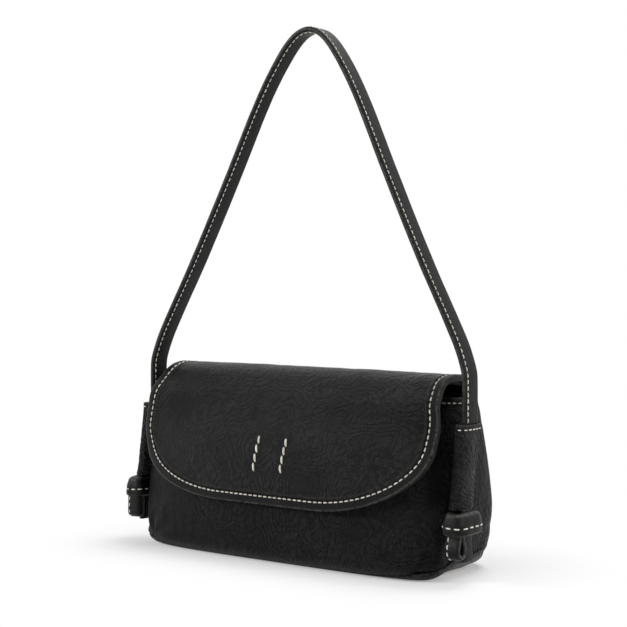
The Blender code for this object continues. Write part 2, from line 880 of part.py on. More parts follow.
def join(target, other):
    """Boolean union of two overlapping objects; the second is taken away."""
    cut = target.modifiers.new("Join", "BOOLEAN")
    cut.operation = "UNION"
    cut.solver = "EXACT"
    cut.object = other
    graph = bpy.context.evaluated_depsgraph_get()
    made = bpy.data.meshes.new_from_object(target.evaluated_get(graph))
    target.modifiers.clear()
    target.data = made
    bpy.data.objects.remove(other, do_unlink=True)


def build_strap(parts, finish):
    arch = strap_arch(parts, finish)
    for side in (-1, 1):
        tab = lap_tab("tab", side, 1, parts, finish, LAP_RISE + STRAP / 2)
        join(arch, tab)
    return arch


def strap_end(name, side, parts, finish):
    """The strap below the swing line: down the sleeve, through the knot, to the cut tail."""
    stations = end_stations(side)
    rings = []
    for x, y, z, width in stations:
        rings.append(box_ring(side, x, y, z, width, STRAP))
    made = loft(name, rings, parts, finish)
    tab = lap_tab("tab", side, -1, parts, finish, lap_clear() + SLEEVE_STAND - FIT)
    join(made, tab)
    return made


def knot_centre(side):
    """Middle of the knot's wrap: (x, y, z). The two knots are tied by hand and differ a little."""
    x = sleeve_x() + KNOT_STEP_OUT
    z = SLEEVE_BOTTOM - KNOT_DROP - KNOT_HEIGHT / 2
    return x, KNOT_Y_RIGHT if side > 0 else KNOT_Y_LEFT, z


def knot_width(side):
    return KNOT_WIDTH_RIGHT if side > 0 else KNOT_WIDTH_LEFT


def loop_span(side):
    return LOOP_SPAN_RIGHT if side > 0 else LOOP_SPAN_LEFT


def end_stations(side):
    """The strap's end from just under the swing line to the tail: x, y, z and width."""
    kx, _, kz = knot_centre(side)
    stations = [(sleeve_x(), swing_y(), swing_height() - lap_clear(), STRAP_WIDTH)]
    for share in SLEEVE_shares:
        z = SLEEVE_TOP + (SLEEVE_BOTTOM - SLEEVE_TOP) * share
        stations.append((sleeve_x(), sleeve_y(z), z, STRAP_WIDTH))
    stations.append((kx, PINCH_Y, kz + KNOT_HEIGHT / 2, PINCH_WIDTH))
    stations.append((kx, PINCH_Y, kz - KNOT_HEIGHT / 2, PINCH_WIDTH))
    stations.append((kx, TAIL_Y, TAIL_BOTTOM, TAIL_WIDTH))
    return stations


def sleeve(name, side, parts, finish):
    """Leather tunnel sewn to the bag's end: an open tube round the strap."""
    hole_width = STRAP_WIDTH + 2 * SLEEVE_ROOM
    hole_thick = STRAP + 2 * SLEEVE_ROOM
    outside, inside = [], []
    for share in SLEEVE_shares:
        z = SLEEVE_TOP + (SLEEVE_BOTTOM - SLEEVE_TOP) * share
        y = sleeve_y(z)
        forward = y - SLEEVE_FORWARD * (1 - share)
        width = sleeve_width(share)
        outside.append(box_ring(side, sleeve_x(), forward, z, width, sleeve_thickness()))
        inside.append(box_ring(side, sleeve_x(), y, z, hole_width, hole_thick))
    return loft(name, outside + inside[::-1], parts, finish, closed_path=True)


def knot_wrap(name, side, parts, finish):
    """The strap's turn round itself: a belt-high band with soft corners."""
    x, y, z = knot_centre(side)
    rings = []
    outer = (knot_width(side), KNOT_DEPTH)
    hole_size = (knot_width(side) - 2 * STRAP, KNOT_DEPTH - 2 * STRAP)
    half = KNOT_HEIGHT / 2
    soft = STRAP * 0.3
    outline = (
        (outer, -soft, -half),
        (outer, 0.0, -half + soft),
        (outer, 0.0, half - soft),
        (outer, -soft, half),
        (hole_size, 0.0, half),
        (hole_size, 0.0, -half),
    )
    for (width, thick), shrink, rise in outline:
        ring = []
        for across, along in rounded_section(width + 2 * shrink, thick + 2 * shrink, ROUND_STEPS):
            ring.append(Vector((side * (x + across), y + along, z + rise)))
        rings.append(ring)
    return loft(name, rings, parts, finish, closed_path=True)


def knot_loop(name, side, parts, finish):
    """The bight that hangs from the knot, its width along X."""
    x, y, z = knot_centre(side)
    top = z - KNOT_HEIGHT / 2 - FIT
    middle_y = y + (loop_span(side) - knot_width(side)) / 2
    radius = (loop_span(side) - STRAP) / 2
    low = top - LOOP_DROP + loop_span(side) / 2
    leg = STRAP / 2 + FIT / 4
    line = [(-leg, top), (-radius * 0.9, (top + low) / 2)]
    for i in range(2 * ROUND_STEPS + 1):
        turn = math.pi * (1 + i / (2 * ROUND_STEPS))
        line.append((radius * math.cos(turn), low + radius * math.sin(turn)))
    line += [(radius * 0.9, (top + low) / 2), (leg, top)]
    rings = []
    for i, (dy, lz) in enumerate(line):
        ahead = Vector(line[min(i + 1, len(line) - 1)])
        behind = Vector(line[max(i - 1, 0)])
        run = (ahead - behind).normalized()
        if i in (0, len(line) - 1):
            run = Vector((0, -1 if i == 0 else 1))
        normal = Vector((run.y, -run.x))
        ring = []
        for across, along in rounded_section(LOOP_WIDTH, STRAP):
            point_y = middle_y + dy + normal.x * across
            ring.append(Vector((side * (x + along), point_y, lz + normal.y * across)))
        rings.append(ring)
    return loft(name, rings, parts, finish)


def build():
    clear_scene()
    parts = collection("shoulder_bag")
    cutters = collection("cutters")
    grain = material("black_grain_leather", (0.016, 0.016, 0.017), 0.5)
    belt = material("black_belt_leather", (0.014, 0.014, 0.015), 0.45)
    cloth = material("black_lining", (0.03, 0.029, 0.028), 0.85)
    fibre = material("fibre_board", (0.2, 0.17, 0.13), 0.9)
    metal = material("snap_metal", (0.6, 0.58, 0.54), 0.3, 1.0)

    front = panel("front_panel", True, parts, grain)
    panel("back_panel", False, parts, grain)
    base_panel(parts, grain)
    base_board(parts, fibre)
    lining(parts, cloth)
    mouth_facing(parts, grain)
    slip_pocket(parts, cloth)

    build_flap(parts, grain, cloth)
    frame = build_snap(parts, metal)
    tab = snap_tab(parts, grain)
    hole(front, STEM_RADIUS + FIT, frame, cutters)
    hole(bpy.data.objects["flap_front_lining"], STEM_RADIUS + FIT, frame, cutters)
    hole(tab, STEM_RADIUS + FIT, frame, cutters)

    strap = build_strap(parts, belt)
    for side, word in ((-1, "left"), (1, "right")):
        sleeve("sleeve_" + word, side, parts, grain)
        strap_end("strap_end_" + word, side, parts, belt)
        knot_wrap("knot_wrap_" + word, side, parts, belt)
        knot_loop("knot_loop_" + word, side, parts, belt)
    for name, axis in (
        ("flap_lift_axis", fold_axis(HINGE_RUN)),
        ("flap_fold_axis", fold_axis(BEND_RUN)),
        ("strap_swing_axis", Vector((0, swing_y(), swing_height()))),
    ):
        marker = bpy.data.objects.new(name, None)
        marker.location = axis
        parts.objects.link(marker)
        print(name, [round(value, 5) for value in axis])
    return strap


build()
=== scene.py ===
"""Looks of a small leather shoulder bag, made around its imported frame. Metres, +Z up, the front
faces -Y. The bag stands on its base at Z = 0. Sizes and curves repeat those of the part's source.
"""

import bisect
import math
import random

import bpy
import numpy as np
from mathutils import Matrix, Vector, kdtree, noise
from mathutils.geometry import intersect_point_line


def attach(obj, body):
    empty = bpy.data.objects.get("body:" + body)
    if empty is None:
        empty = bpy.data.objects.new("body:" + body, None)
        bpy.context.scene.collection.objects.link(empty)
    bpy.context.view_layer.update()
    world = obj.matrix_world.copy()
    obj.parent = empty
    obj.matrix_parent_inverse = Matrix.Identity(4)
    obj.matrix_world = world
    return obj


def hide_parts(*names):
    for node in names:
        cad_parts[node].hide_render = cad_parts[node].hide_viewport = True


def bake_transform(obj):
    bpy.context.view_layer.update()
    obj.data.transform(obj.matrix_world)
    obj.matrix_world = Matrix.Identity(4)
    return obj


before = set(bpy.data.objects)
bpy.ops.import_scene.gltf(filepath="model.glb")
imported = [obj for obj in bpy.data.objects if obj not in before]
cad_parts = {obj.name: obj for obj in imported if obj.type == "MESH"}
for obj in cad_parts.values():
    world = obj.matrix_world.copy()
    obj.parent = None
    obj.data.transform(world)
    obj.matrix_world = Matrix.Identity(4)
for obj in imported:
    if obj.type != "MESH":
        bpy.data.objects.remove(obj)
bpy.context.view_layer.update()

# Body
BODY_WIDTH = 0.271
BODY_HEIGHT = 0.118
FRONT_REACH = 0.050
BACK_REACH = 0.050
SEAM_REACH = 0.016
BASE_ROUND = 0.009
END_SEAM_HEIGHT = 0.0075
FRONT_SEAM_HEIGHT = 0.0008
LEATHER = 0.0018
FIT = 0.0003
LINING_GAP = 0.0017
LINING = 0.0008
LINING_ROUND = 0.006
FACING_HEIGHT = 0.020
FACING = 0.0011
BOARD = 0.0016
POCKET_WIDTH = 0.140
POCKET_TOP = 0.088
POCKET_BOTTOM = 0.034
POCKET = 0.0010

# Flap
FLAP_TOP = 0.1328
FLAP_BOTTOM = 0.0407
FLAP_LEATHER = 0.0014
FLAP_LINING = 0.0008
FLAP_EDGE = 0.0042
FLAP_EDGE_BAND = 0.0066
FLAP_WIDTH = 0.2595
FLAP_TOP_WIDTH = 0.251
FLAP_HEM_WIDTH = 0.226
FLAP_CORNER = 0.049
FLAP_CORNER_ACROSS = 0.090
FLAP_HEM_BOTTOM = 0.094
FLAP_FLARE = 0.044
FLAP_EDGE_GAP = 0.0009
FLAP_CREST_Y = -0.003
SNAP_HEIGHT = 0.075
SNAP_ROOM = 0.0053
HEM_CORNER = 0.011
FLAP_SPLIT = 0.055

# Strap, sleeves and knots
STRAP_WIDTH = 0.016
STRAP = 0.004
STRAP_TOP = 0.376
STRAP_LEAN = 0.0115
SLEEVE_TOP_WIDTH = 0.0235
SLEEVE_WIDTH = 0.0205
SLEEVE_FORWARD = 0.0022
SLEEVE_WALL = 0.0016
SLEEVE_ROOM = 0.0006
SLEEVE_TOP = 0.102
SLEEVE_BOTTOM = 0.0478
SLEEVE_TOP_Y = -0.0102
SLEEVE_BOTTOM_Y = -0.0215
LAP_RISE = 0.012
SWING_Z = 0.11812
KNOT_WIDTHS = {1: 0.029, -1: 0.0258}
KNOT_DEPTH = 0.0155
KNOT_HEIGHT = 0.0150
KNOT_DROP = 0.0006
KNOT_STEP_OUT = 0.0035
KNOT_MIDDLES = {1: -0.025, -1: -0.0235}
PINCH_WIDTH = 0.012
PINCH_Y = -0.0214
LOOP_WIDTH = 0.011
LOOP_SPANS = {1: 0.0115, -1: 0.0086}
LOOP_DROP = 0.0157
TAIL_WIDTH = 0.0125
TAIL_Y = -0.0205
TAIL_BOTTOM = 0.0140

HEIGHT_shares = (0.0, 0.17, 0.36, 0.53, 0.74, 0.88, 1.0)
WIDTH_shares = (0.950, 0.978, 1.0, 1.0, 0.991, 0.976, 0.950)
FRONT_shares = (0.97, 1.0, 0.97, 0.89, 0.71, 0.51, 0.24)
BACK_shares = (0.975, 0.99, 0.945, 0.845, 0.665, 0.58, 0.53)
SEAM_shares = (-1.0, -0.95, -0.87, -0.70, -0.36, -0.12, 0.12)
FRONT_POWER_shares = (4.6, 3.6, 3.0, 2.8, 2.8, 2.9, 3.0)
BACK_POWER = 6.0
ARCH_shares = (
    (1.0, 0.0), (0.994, 0.027), (0.956, 0.086), (0.903, 0.146), (0.730, 0.326),
    (0.517, 0.565), (0.310, 0.805), (0.180, 0.924), (0.085, 0.983), (0.0, 1.0),
)
SLEEVE_shares = (0.0, 0.12, 0.3, 0.55, 0.8, 1.0)

# Stitches
PITCH = 0.0043
STITCH = 0.0033
STRAP_PITCH = 0.0042
THREAD = 0.00050
EDGE_LINE = 0.0062
BELT_LINE = 0.0025
RIM_PITCH = 0.0036
RIM_STITCH = 0.0027
RIM_DROP = 0.0036
SADDLE_STITCH = 0.0059
SADDLE_THREAD = 0.00078

# Camera, and lamps as place, height aimed at, size and power
CAMERA_PLACE = (0.7058, -0.9012, 0.2082)
CAMERA_TURN = 38
CAMERA_LENS = 91.96
CAMERA_SHIFT = -0.0821
LAMPS = {
    "top_light": ((0.1, 0.6, 1.6), 0.12, 0.9, 14.0),
    "left_light": ((-1.5, -1.5, 0.95), 0.08, 0.6, 37.0),
    "right_light": ((1.7, 0.1, 0.8), 0.08, 0.8, 15.0),
}
WORLD_LIGHT = 0.20
FLOOR_GREY = 0.94
FLOOR_DROP = 0.0002
FLOOR_CORE = (0.115, 0.035, 0.0)
FLOOR_FADE = (-0.05, 0.11)

random.seed(4)


def smoothstep(value, low, high):
    t = min(max((value - low) / (high - low), 0.0), 1.0)
    return t * t * (3 - 2 * t)


def bell(value, middle, width):
    return math.exp(-(((value - middle) / width) ** 2))


def squared_off(value, power):
    """A sine or cosine bent so that its circle turns into a rounded rectangle."""
    return math.copysign(abs(value) ** (2 / power), value)


def run_lengths(points):
    """Length along a line of points, from the first to each."""
    runs = [0.0]
    for here, ahead in zip(points, points[1:]):
        runs.append(runs[-1] + (ahead - here).length)
    return runs


def smooth_between(stations, values, at):
    """Smooth curve through the values at uneven stations; values are numbers or vectors."""
    last = len(stations) - 1
    at = min(max(at, stations[0]), stations[last])
    i = min(max(bisect.bisect_right(stations, at) - 1, 0), last - 1)
    span = stations[i + 1] - stations[i]
    t = (at - stations[i]) / span
    start, end = values[i], values[i + 1]
    rise_in = rise_out = end - start
    if i > 0:
        rise_in = (end - values[i - 1]) * (span / (stations[i + 1] - stations[i - 1]))
    if i + 2 <= last:
        rise_out = (values[i + 2] - start) * (span / (stations[i + 2] - stations[i]))
    t2, t3 = t * t, t * t * t
    return (
        start * (2 * t3 - 3 * t2 + 1)
        + rise_in * (t3 - 2 * t2 + t)
        + end * (3 * t2 - 2 * t3)
        + rise_out * (t3 - t2)
    )


def at_run(stations, points, run, step):
    """A smooth curve's point at a run along it, and the way from a step before to one after."""
    here, ahead, behind = (smooth_between(stations, points, run + d) for d in (0.0, step, -step))
    return here, ahead - behind


def body_share(shares, height):
    return smooth_between(HEIGHT_shares, shares, height / BODY_HEIGHT)


def half_width(height):
    return BODY_WIDTH / 2 * body_share(WIDTH_shares, height)


def seam_y(height):
    return SEAM_REACH * body_share(SEAM_shares, height)


def front_y(height):
    return -FRONT_REACH * body_share(FRONT_shares, height)


def back_y(height):
    return BACK_REACH * body_share(BACK_shares, height)


def wall(angles, height, inset, z=None):
    """Points of the body's wall: angle 0 is the right seam, a quarter turn below it the front."""
    across, along = np.cos(angles), np.sin(angles)
    middle = seam_y(height)
    front = along < 0
    power = np.where(front, body_share(FRONT_POWER_shares, height), BACK_POWER)
    reach = np.where(front, middle - front_y(height), back_y(height) - middle) - inset
    x = (half_width(height) - inset) * np.sign(across) * np.abs(across) ** (2 / power)
    y = middle + reach * np.sign(along) * np.abs(along) ** (2 / power)
    level = np.zeros_like(x) + (height if z is None else z)
    return np.stack([x, y, level], axis=-1)


def front_at(x, height, widen):
    share = min(abs(x) / (half_width(height) + widen), 1.0)
    power = body_share(FRONT_POWER_shares, height)
    bow = (1 - share**power) ** (1 / power)
    return seam_y(height) - (seam_y(height) - front_y(height)) * bow


def back_at(x, height):
    share = min(abs(x) / half_width(height), 1.0)
    bow = (1 - share**BACK_POWER) ** (1 / BACK_POWER)
    return seam_y(height) + (back_y(height) - seam_y(height)) * bow


def even_angles(height, front, count):
    """Angles over a half ring, from its first seam to its last, at even steps of length."""
    t = np.linspace(0.0, 1.0, 900)
    quarter = math.pi / 2 * t**3 / (t**3 + (1 - t) ** 3)
    quarter = -quarter if front else quarter
    points = wall(quarter, height, 0.0)
    steps = np.linalg.norm(np.diff(points, axis=0), axis=1)
    lengths = np.concatenate([[0.0], np.cumsum(steps)])
    spread = np.interp(np.linspace(0.0, lengths[-1], count // 2 + 1), lengths, quarter)
    spread[0] = 0.0
    if front:
        return np.concatenate([-math.pi - spread, spread[::-1][1:]])
    return np.concatenate([spread, (math.pi - spread)[::-1][1:]])


def whole_ring(height, count):
    """Angles all round the wall, each once."""
    halves = [even_angles(height, front, count)[:-1] for front in (True, False)]
    return np.concatenate(halves)


def seam_turn(angle):
    end_weight = abs(math.cos(angle)) ** 3
    height = FRONT_SEAM_HEIGHT + (END_SEAM_HEIGHT - FRONT_SEAM_HEIGHT) * end_weight
    return math.acos(1 - min(height / BASE_ROUND, 1.0))


# Soft waves of the leather: size, height, and where in the noise each starts
BODY_waves = ((0.048, 0.0009, (3.1, 0, 7)), (0.019, 0.00035, (0, 5.2, 1)))
FLAP_waves = ((0.042, 0.0007, (1.3, 4.4, 0)), (0.016, 0.00025, (7.3, 0.4, 2)))


def waves(at, table):
    return sum(noise.noise(at / size + Vector(start)) * height for size, height, start in table)


def grid_normals(grid):
    """Outward normals of a grid of points, rows by columns."""
    down = np.gradient(grid, axis=0)
    along = np.gradient(grid, axis=1)
    normals = np.cross(along, down)
    size = np.linalg.norm(normals, axis=2, keepdims=True)
    return normals / np.maximum(size, 1e-12)


def link(name, verts, faces, finish, marks=None):
    """A smooth mesh object; marks are per-point numbers that its material reads."""
    mesh = bpy.data.meshes.new(name)
    mesh.from_pydata([tuple(v) for v in verts], [], faces)
    for key, values in (marks or {}).items():
        layer = mesh.attributes.new(key, "FLOAT", "POINT")
        layer.data.foreach_set("value", np.asarray(values, dtype=np.float32))
    mesh.materials.append(finish)
    mesh.shade_smooth()
    made = bpy.data.objects.new(name, mesh)
    bpy.context.scene.collection.objects.link(made)
    return made


def grid_faces(rows, cols, ring=False, loop=False):
    """Quads over a grid. A ring joins its last column to its first, a loop its last row."""
    faces = []
    for r in range(rows if loop else rows - 1):
        for c in range(cols if ring else cols - 1):
            s, d = (r + 1) % rows, (c + 1) % cols
            faces.append((r * cols + c, r * cols + d, s * cols + d, s * cols + c))
    return faces


def tube_faces(rows, cols, loop=False):
    """Quads between closed rings; where they don't loop, both ends are closed."""
    faces = grid_faces(rows, cols, True, loop)
    if not loop:
        faces += [tuple(range(cols))[::-1], tuple(range((rows - 1) * cols, rows * cols))]
    return faces


def closed(name, verts, faces, finish, marks):
    """Links a closed shape, its coinciding points joined and its faces turned outwards."""
    keys = np.round(verts * 1e7).astype(np.int64)
    _, first, index = np.unique(keys, axis=0, return_index=True, return_inverse=True)
    index = index.reshape(-1).tolist()
    points = verts[first]
    kept, volume = [], 0.0
    for face in faces:
        ring = list(dict.fromkeys(index[i] for i in face))
        if len(ring) < 3:
            continue
        kept.append(ring)
        corners = [points[i] for i in ring[:4 if len(ring) == 4 else 3]]
        for b, c in zip(corners[1:], corners[2:]):
            volume += float(np.dot(corners[0], np.cross(b, c)))
    if volume < 0:
        kept = [ring[::-1] for ring in kept]
    return link(name, points, kept, finish, {key: row[first] for key, row in marks.items()})


def flat_marks(marks, shape, grids=1):
    """Each mark, given as a grid of numbers or as one, in a row for the points of all grids."""
    rows = {key: np.broadcast_to(values, shape).reshape(-1) for key, values in marks.items()}
    return {key: np.tile(row, grids) for key, row in rows.items()}


def skin(name, outer, inner, finish, ends=(True, True), **marks):
    """A closed skin between two grids; ends say whether the first and last rows are closed."""
    outer, inner = np.asarray(outer), np.asarray(inner)
    rows, cols = outer.shape[:2]
    size = rows * cols
    faces = []
    for face in grid_faces(rows, cols):
        faces += [face, tuple(size + corner for corner in face[::-1])]
    left = range(0, size, cols)
    rims = [left[::-1], range(cols - 1, size, cols)]
    rims += [range(cols)] * ends[0] + [range(size - cols, size)[::-1]] * ends[1]
    for rim in rims:
        faces += [(a, size + a, size + b, b) for a, b in zip(rim, rim[1:])]
    verts = np.concatenate([outer.reshape(-1, 3), inner.reshape(-1, 3)])
    return closed(name, verts, faces, finish, flat_marks(marks, (rows, cols), 2))


def tube(name, rings, finish, loop=False, **marks):
    """Skins closed rings of equal length; a loop joins the last ring to the first."""
    rings = np.asarray(rings)
    shape = rings.shape[:2]
    faces = tube_faces(*shape, loop)
    return closed(name, rings.reshape(-1, 3), faces, finish, flat_marks(marks, shape))


class Nodes:
    """The nodes of a material or world, with short calls for the kinds used here."""

    def __init__(self, owner):
        owner.use_nodes = True
        self.owner = owner
        self.tree = owner.node_tree

    def join(self, socket, value):
        if isinstance(value, bpy.types.NodeSocket):
            self.tree.links.new(value, socket)
        else:
            socket.default_value = value

    def put(self, kind, inputs=None, **settings):
        made = self.tree.nodes.new("ShaderNode" + kind)
        for key, value in settings.items():
            setattr(made, key, value)
        for key, value in (inputs or {}).items():
            self.join(made.inputs[key], value)
        return made

    def maths(self, operation, *values, clamp=False):
        inputs = dict(enumerate(values))
        return self.put("Math", inputs, operation=operation, use_clamp=clamp).outputs[0]

    def times(self, a, b):
        return self.maths("MULTIPLY", a, b)

    def plus(self, a, b, clamp=False):
        return self.maths("ADD", a, b, clamp=clamp)

    def vector(self, operation, *values, output=0):
        made = self.put("VectorMath", dict(enumerate(values)), operation=operation)
        return made.outputs[output]

    def ranged(self, value, low, high, to_low=0.0, to_high=1.0):
        inputs = {0: value, 1: low, 2: high, 3: to_low, 4: to_high}
        return self.put("MapRange", inputs, interpolation_type="SMOOTHSTEP").outputs[0]

    def blend(self, factor, a, b):
        return self.put("Mix", {0: factor, 6: a, 7: b}, data_type="RGBA").outputs[2]

    def unlit(self):
        """1 for rays that show the plain background."""
        path = self.put("LightPath").outputs
        seen = self.maths("MAXIMUM", path["Is Camera Ray"], path["Is Glossy Ray"])
        return self.maths("MAXIMUM", seen, path["Is Transmission Ray"])


class Finish(Nodes):
    """A material on the object's own coordinates."""

    def __init__(self, name):
        super().__init__(bpy.data.materials.new(name))
        self.shader = self.tree.nodes["Principled BSDF"]
        self.coords = self.put("TexCoord").outputs["Object"]

    def noise(self, scale, detail=2.0, rough=0.5, output="Fac"):
        inputs = {"Vector": self.coords, "Scale": scale, "Detail": detail, "Roughness": rough}
        return self.put("TexNoise", inputs).outputs[output]

    def edges(self, place, scale, high):
        """Rounded cells: 0 along their edges, 1 inside."""
        inputs = {"Vector": place, "Scale": scale}
        made = self.put("TexVoronoi", inputs, feature="DISTANCE_TO_EDGE")
        return self.ranged(made.outputs["Distance"], 0.0, high)

    def mark(self, name):
        return self.put("Attribute", attribute_name=name).outputs["Fac"]

    def bump(self, strength, distance, height):
        inputs = {"Strength": strength, "Distance": distance, "Height": height}
        self.join(self.shader.inputs["Normal"], self.put("Bump", inputs).outputs[0])

    def set(self, **values):
        for key, value in values.items():
            self.join(self.shader.inputs[key.replace("_", " ")], value)


def leather(name, dark, light, worn_and_highlight, rough, cell, depth, specular, creased):
    """Milled leather: pebbles that run together into short wavy creases, pores, worn edges with
    painted edge highlights, and painted shade where a mark asks for it.
    """
    made = Finish(name)
    times, plus, ranged = made.times, made.plus, made.ranged
    wobble = made.noise(0.42 / cell, 3.0, output="Color")
    shift = made.vector("MULTIPLY_ADD", wobble, (cell,) * 3, made.coords)
    pebble = made.edges(shift, 1 / cell, 0.26)
    small = made.edges(shift, 2.6 / cell, 0.3)
    patches = made.noise(28.0, 3.0)
    # Creases: wavy lines a little over one cell apart, broken into short lengths
    slope = (0.06 / cell, 0.15 / cell, 0.22 / cell)
    across = made.vector("DOT_PRODUCT", made.coords, slope, output="Value")
    bend = plus(times(made.noise(27.0, 1.0), 17.0), times(made.noise(120.0, 1.0), 2.0))
    wave = made.maths("SINE", times(plus(across, bend), math.pi))
    ridge = made.maths("POWER", made.maths("ABSOLUTE", wave), 0.8)
    broken = ranged(made.noise(240.0), 0.34, 0.54, 0.15, 1.0)
    amount = plus(ranged(patches, 0.34, 0.62, 0.30, 0.85), made.mark("crease"))
    lines = times(times(ridge, broken), creased)
    relief = times(plus(lines, times(pebble, 0.55)), made.maths("MAXIMUM", amount, 0.0))
    relief = plus(relief, times(small, 0.22))
    relief = plus(relief, times(made.noise(5200.0), 0.08))
    made.bump(1.0, depth, relief)
    tone = times(ranged(patches, 0.3, 0.72), 0.25)
    tone = plus(tone, times(times(relief, 0.75), creased), clamp=True)
    colour = made.blend(tone, (*dark, 1), (*light, 1))
    # Lighter towards the worn colour where a point mark asks: real wear, and painted highlights along
    # edges, lips and folds.
    patchiness = ranged(made.noise(420.0, 3.0, 0.7), 0.30, 0.62)
    wear = made.maths("MULTIPLY", made.mark("wear"), patchiness, clamp=True)
    # Painted shade: a point mark darkens the leather nearly to black and makes it duller, in recesses
    # where shade falls.
    hollow = made.mark("hollow")
    colour = made.blend(hollow, made.blend(wear, colour, (*worn_and_highlight, 1)), (0.001, 0.001, 0.001, 1))
    gloss = plus(rough - 0.07, times(patches, 0.14))
    gloss = plus(gloss, times(hollow, 0.3), clamp=True)
    made.set(Base_Color=colour, Roughness=gloss, Specular_IOR_Level=specular)
    return made.owner


def cloth(name, dark, light, pitch):
    """Plain weave of fine threads."""
    made = Finish(name)
    parts = made.put("SeparateXYZ", {0: made.coords}).outputs
    waves = [made.maths("SINE", made.times(parts[axis], math.tau / pitch)) for axis in "XZY"]
    weave = made.times(waves[0], made.plus(waves[1], waves[2]))
    fuzz = made.noise(2600.0, 3.0)
    made.bump(0.8, 0.0002, made.plus(weave, fuzz))
    patches = made.times(made.noise(45.0, 3.0), 0.4)
    tone = made.plus(made.ranged(weave, -1.2, 1.2, 0.0, 0.6), patches, clamp=True)
    colour = made.blend(tone, (*dark, 1), (*light, 1))
    made.set(Base_Color=colour, Roughness=made.ranged(fuzz, 0.2, 0.8, 0.8, 0.95), Sheen_Weight=0.25)
    return made.owner


def thread_finish():
    """Waxed cream thread with a visible twist."""
    made = Finish("cream_thread")
    inputs = {"Vector": made.coords, "Scale": 900.0, "Distortion": 1.5, "Detail": 1.0}
    twist = made.put("TexWave", inputs, bands_direction="DIAGONAL").outputs["Fac"]
    made.bump(0.6, 0.0001, twist)
    grime = made.noise(160.0, 3.0)
    tone = made.plus(made.times(twist, 0.35), made.ranged(grime, 0.3, 0.7, 0.0, 0.65), clamp=True)
    colour = made.blend(tone, (0.55, 0.50, 0.42, 1), (0.88, 0.84, 0.76, 1))
    made.set(Base_Color=colour, Roughness=made.ranged(grime, 0.3, 0.7, 0.75, 0.6))
    return made.owner


def metal_finish():
    made = Finish("brushed_snap")
    rub = made.noise(900.0, 4.0, 0.6)
    colour = made.blend(rub, (0.17, 0.165, 0.155, 1), (0.27, 0.26, 0.245, 1))
    made.set(Base_Color=colour, Roughness=made.ranged(rub, 0.3, 0.7, 0.24, 0.42), Metallic=1.0)
    return made.owner


def board_finish():
    made = Finish("pressed_fibre")
    fibre = made.noise(1400.0, 4.0, 0.65)
    made.bump(0.5, 0.0001, fibre)
    colour = made.blend(fibre, (0.13, 0.10, 0.07, 1), (0.27, 0.22, 0.16, 1))
    made.set(Base_Color=colour, Roughness=made.ranged(fibre, 0.2, 0.8, 0.85, 0.95))
    return made.owner


# The colour of rubbed leather, also used for painted edge highlights.
WORN_AND_HIGHLIGHT = (0.100, 0.096, 0.090)
GRAIN = leather(
    "milled_leather", dark=(0.0008, 0.0008, 0.0008), light=(0.0230, 0.0227, 0.0222), worn_and_highlight=WORN_AND_HIGHLIGHT,
    rough=0.33, cell=0.00200, depth=0.00200, specular=0.105, creased=1.0,
)
BODY_GRAIN = leather(
    "body_leather", dark=(0.0006, 0.0006, 0.0006), light=(0.0150, 0.0148, 0.0145), worn_and_highlight=WORN_AND_HIGHLIGHT,
    rough=0.40, cell=0.00210, depth=0.00165, specular=0.085, creased=1.0,
)
BELT = leather(
    "belt_leather", dark=(0.0030, 0.0030, 0.0030), light=(0.0080, 0.0079, 0.0077),
    worn_and_highlight=(0.080, 0.077, 0.072), rough=0.38, cell=0.00120, depth=0.00012, specular=0.12, creased=0.5,
)
CLOTH = cloth("woven_lining", (0.012, 0.0115, 0.011), (0.035, 0.033, 0.031), 0.0011)
THREADS = thread_finish()


# A stitch from end to end: place along it, width, rise
STITCH_shape = (
    (-1.0, 0.35, -1.0), (-0.86, 0.78, -0.35), (-0.5, 1.0, 0.35), (0.0, 1.04, 0.5),
    (0.5, 1.0, 0.35), (0.86, 0.78, -0.35), (1.0, 0.35, -1.0),
)
STITCH_SIDES = 8
STITCH_SINK = 0.00028


def stitch_run(name, course, pitch, length, thread=THREAD, slant=0.0):
    """Stitches along a course: a list of (point, normal), close together, in order."""
    points = [Vector(p) for p, _ in course]
    normals = [Vector(n) for _, n in course]
    runs = run_lengths(points)
    count = max(int(runs[-1] / pitch), 1)
    step = runs[-1] / count
    verts, faces = [], []
    stitch_faces = tube_faces(len(STITCH_shape), STITCH_SIDES)
    turns = [math.tau * j / STITCH_SIDES for j in range(STITCH_SIDES)]

    def at(run):
        i = min(max(bisect.bisect_right(runs, run) - 1, 0), len(runs) - 2)
        t = (run - runs[i]) / max(runs[i + 1] - runs[i], 1e-9)
        t = min(max(t, -3.0), 4.0)
        return points[i].lerp(points[i + 1], t), normals[i].lerp(normals[i + 1], t).normalized()

    for k in range(count):
        middle = (k + 0.5) * step + random.uniform(-1, 1) * pitch * 0.03
        size = thread * random.uniform(0.92, 1.06)
        up = at(middle)[1]
        along = (at(middle + length / 4)[0] - at(middle - length / 4)[0]).normalized()
        side = up.cross(along).normalized()
        tilt = slant + random.uniform(-0.025, 0.025)
        faces += [[len(verts) + corner for corner in face] for face in stitch_faces]
        for t, wide, rise in STITCH_shape:
            point, normal = at(middle + t * length / 2)
            lift = rise * (STITCH_SINK if rise < 0 else size)
            centre = point + normal * lift + side * (tilt * t * length / 2)
            wide *= size
            verts += [centre + side * (math.cos(turn) * wide) + normal * (math.sin(turn) * wide * 0.9)
                      for turn in turns]
    return link(name, verts, faces, THREADS)


SLEEVE_THICK = STRAP + 2 * (SLEEVE_WALL + SLEEVE_ROOM)
SLEEVE_POWER = 3.4
SLEEVE_LINE = 0.0030
SLEEVE_X = BODY_WIDTH / 2 + FIT + SLEEVE_THICK / 2
KNOT_X = SLEEVE_X + KNOT_STEP_OUT
KNOT_Z = SLEEVE_BOTTOM - KNOT_DROP - KNOT_HEIGHT / 2
HALF_COLUMNS = 216
INNER_COLUMNS = 140
SLIT_DEPTH = 0.0017
RELIEF_MOST = 0.0007


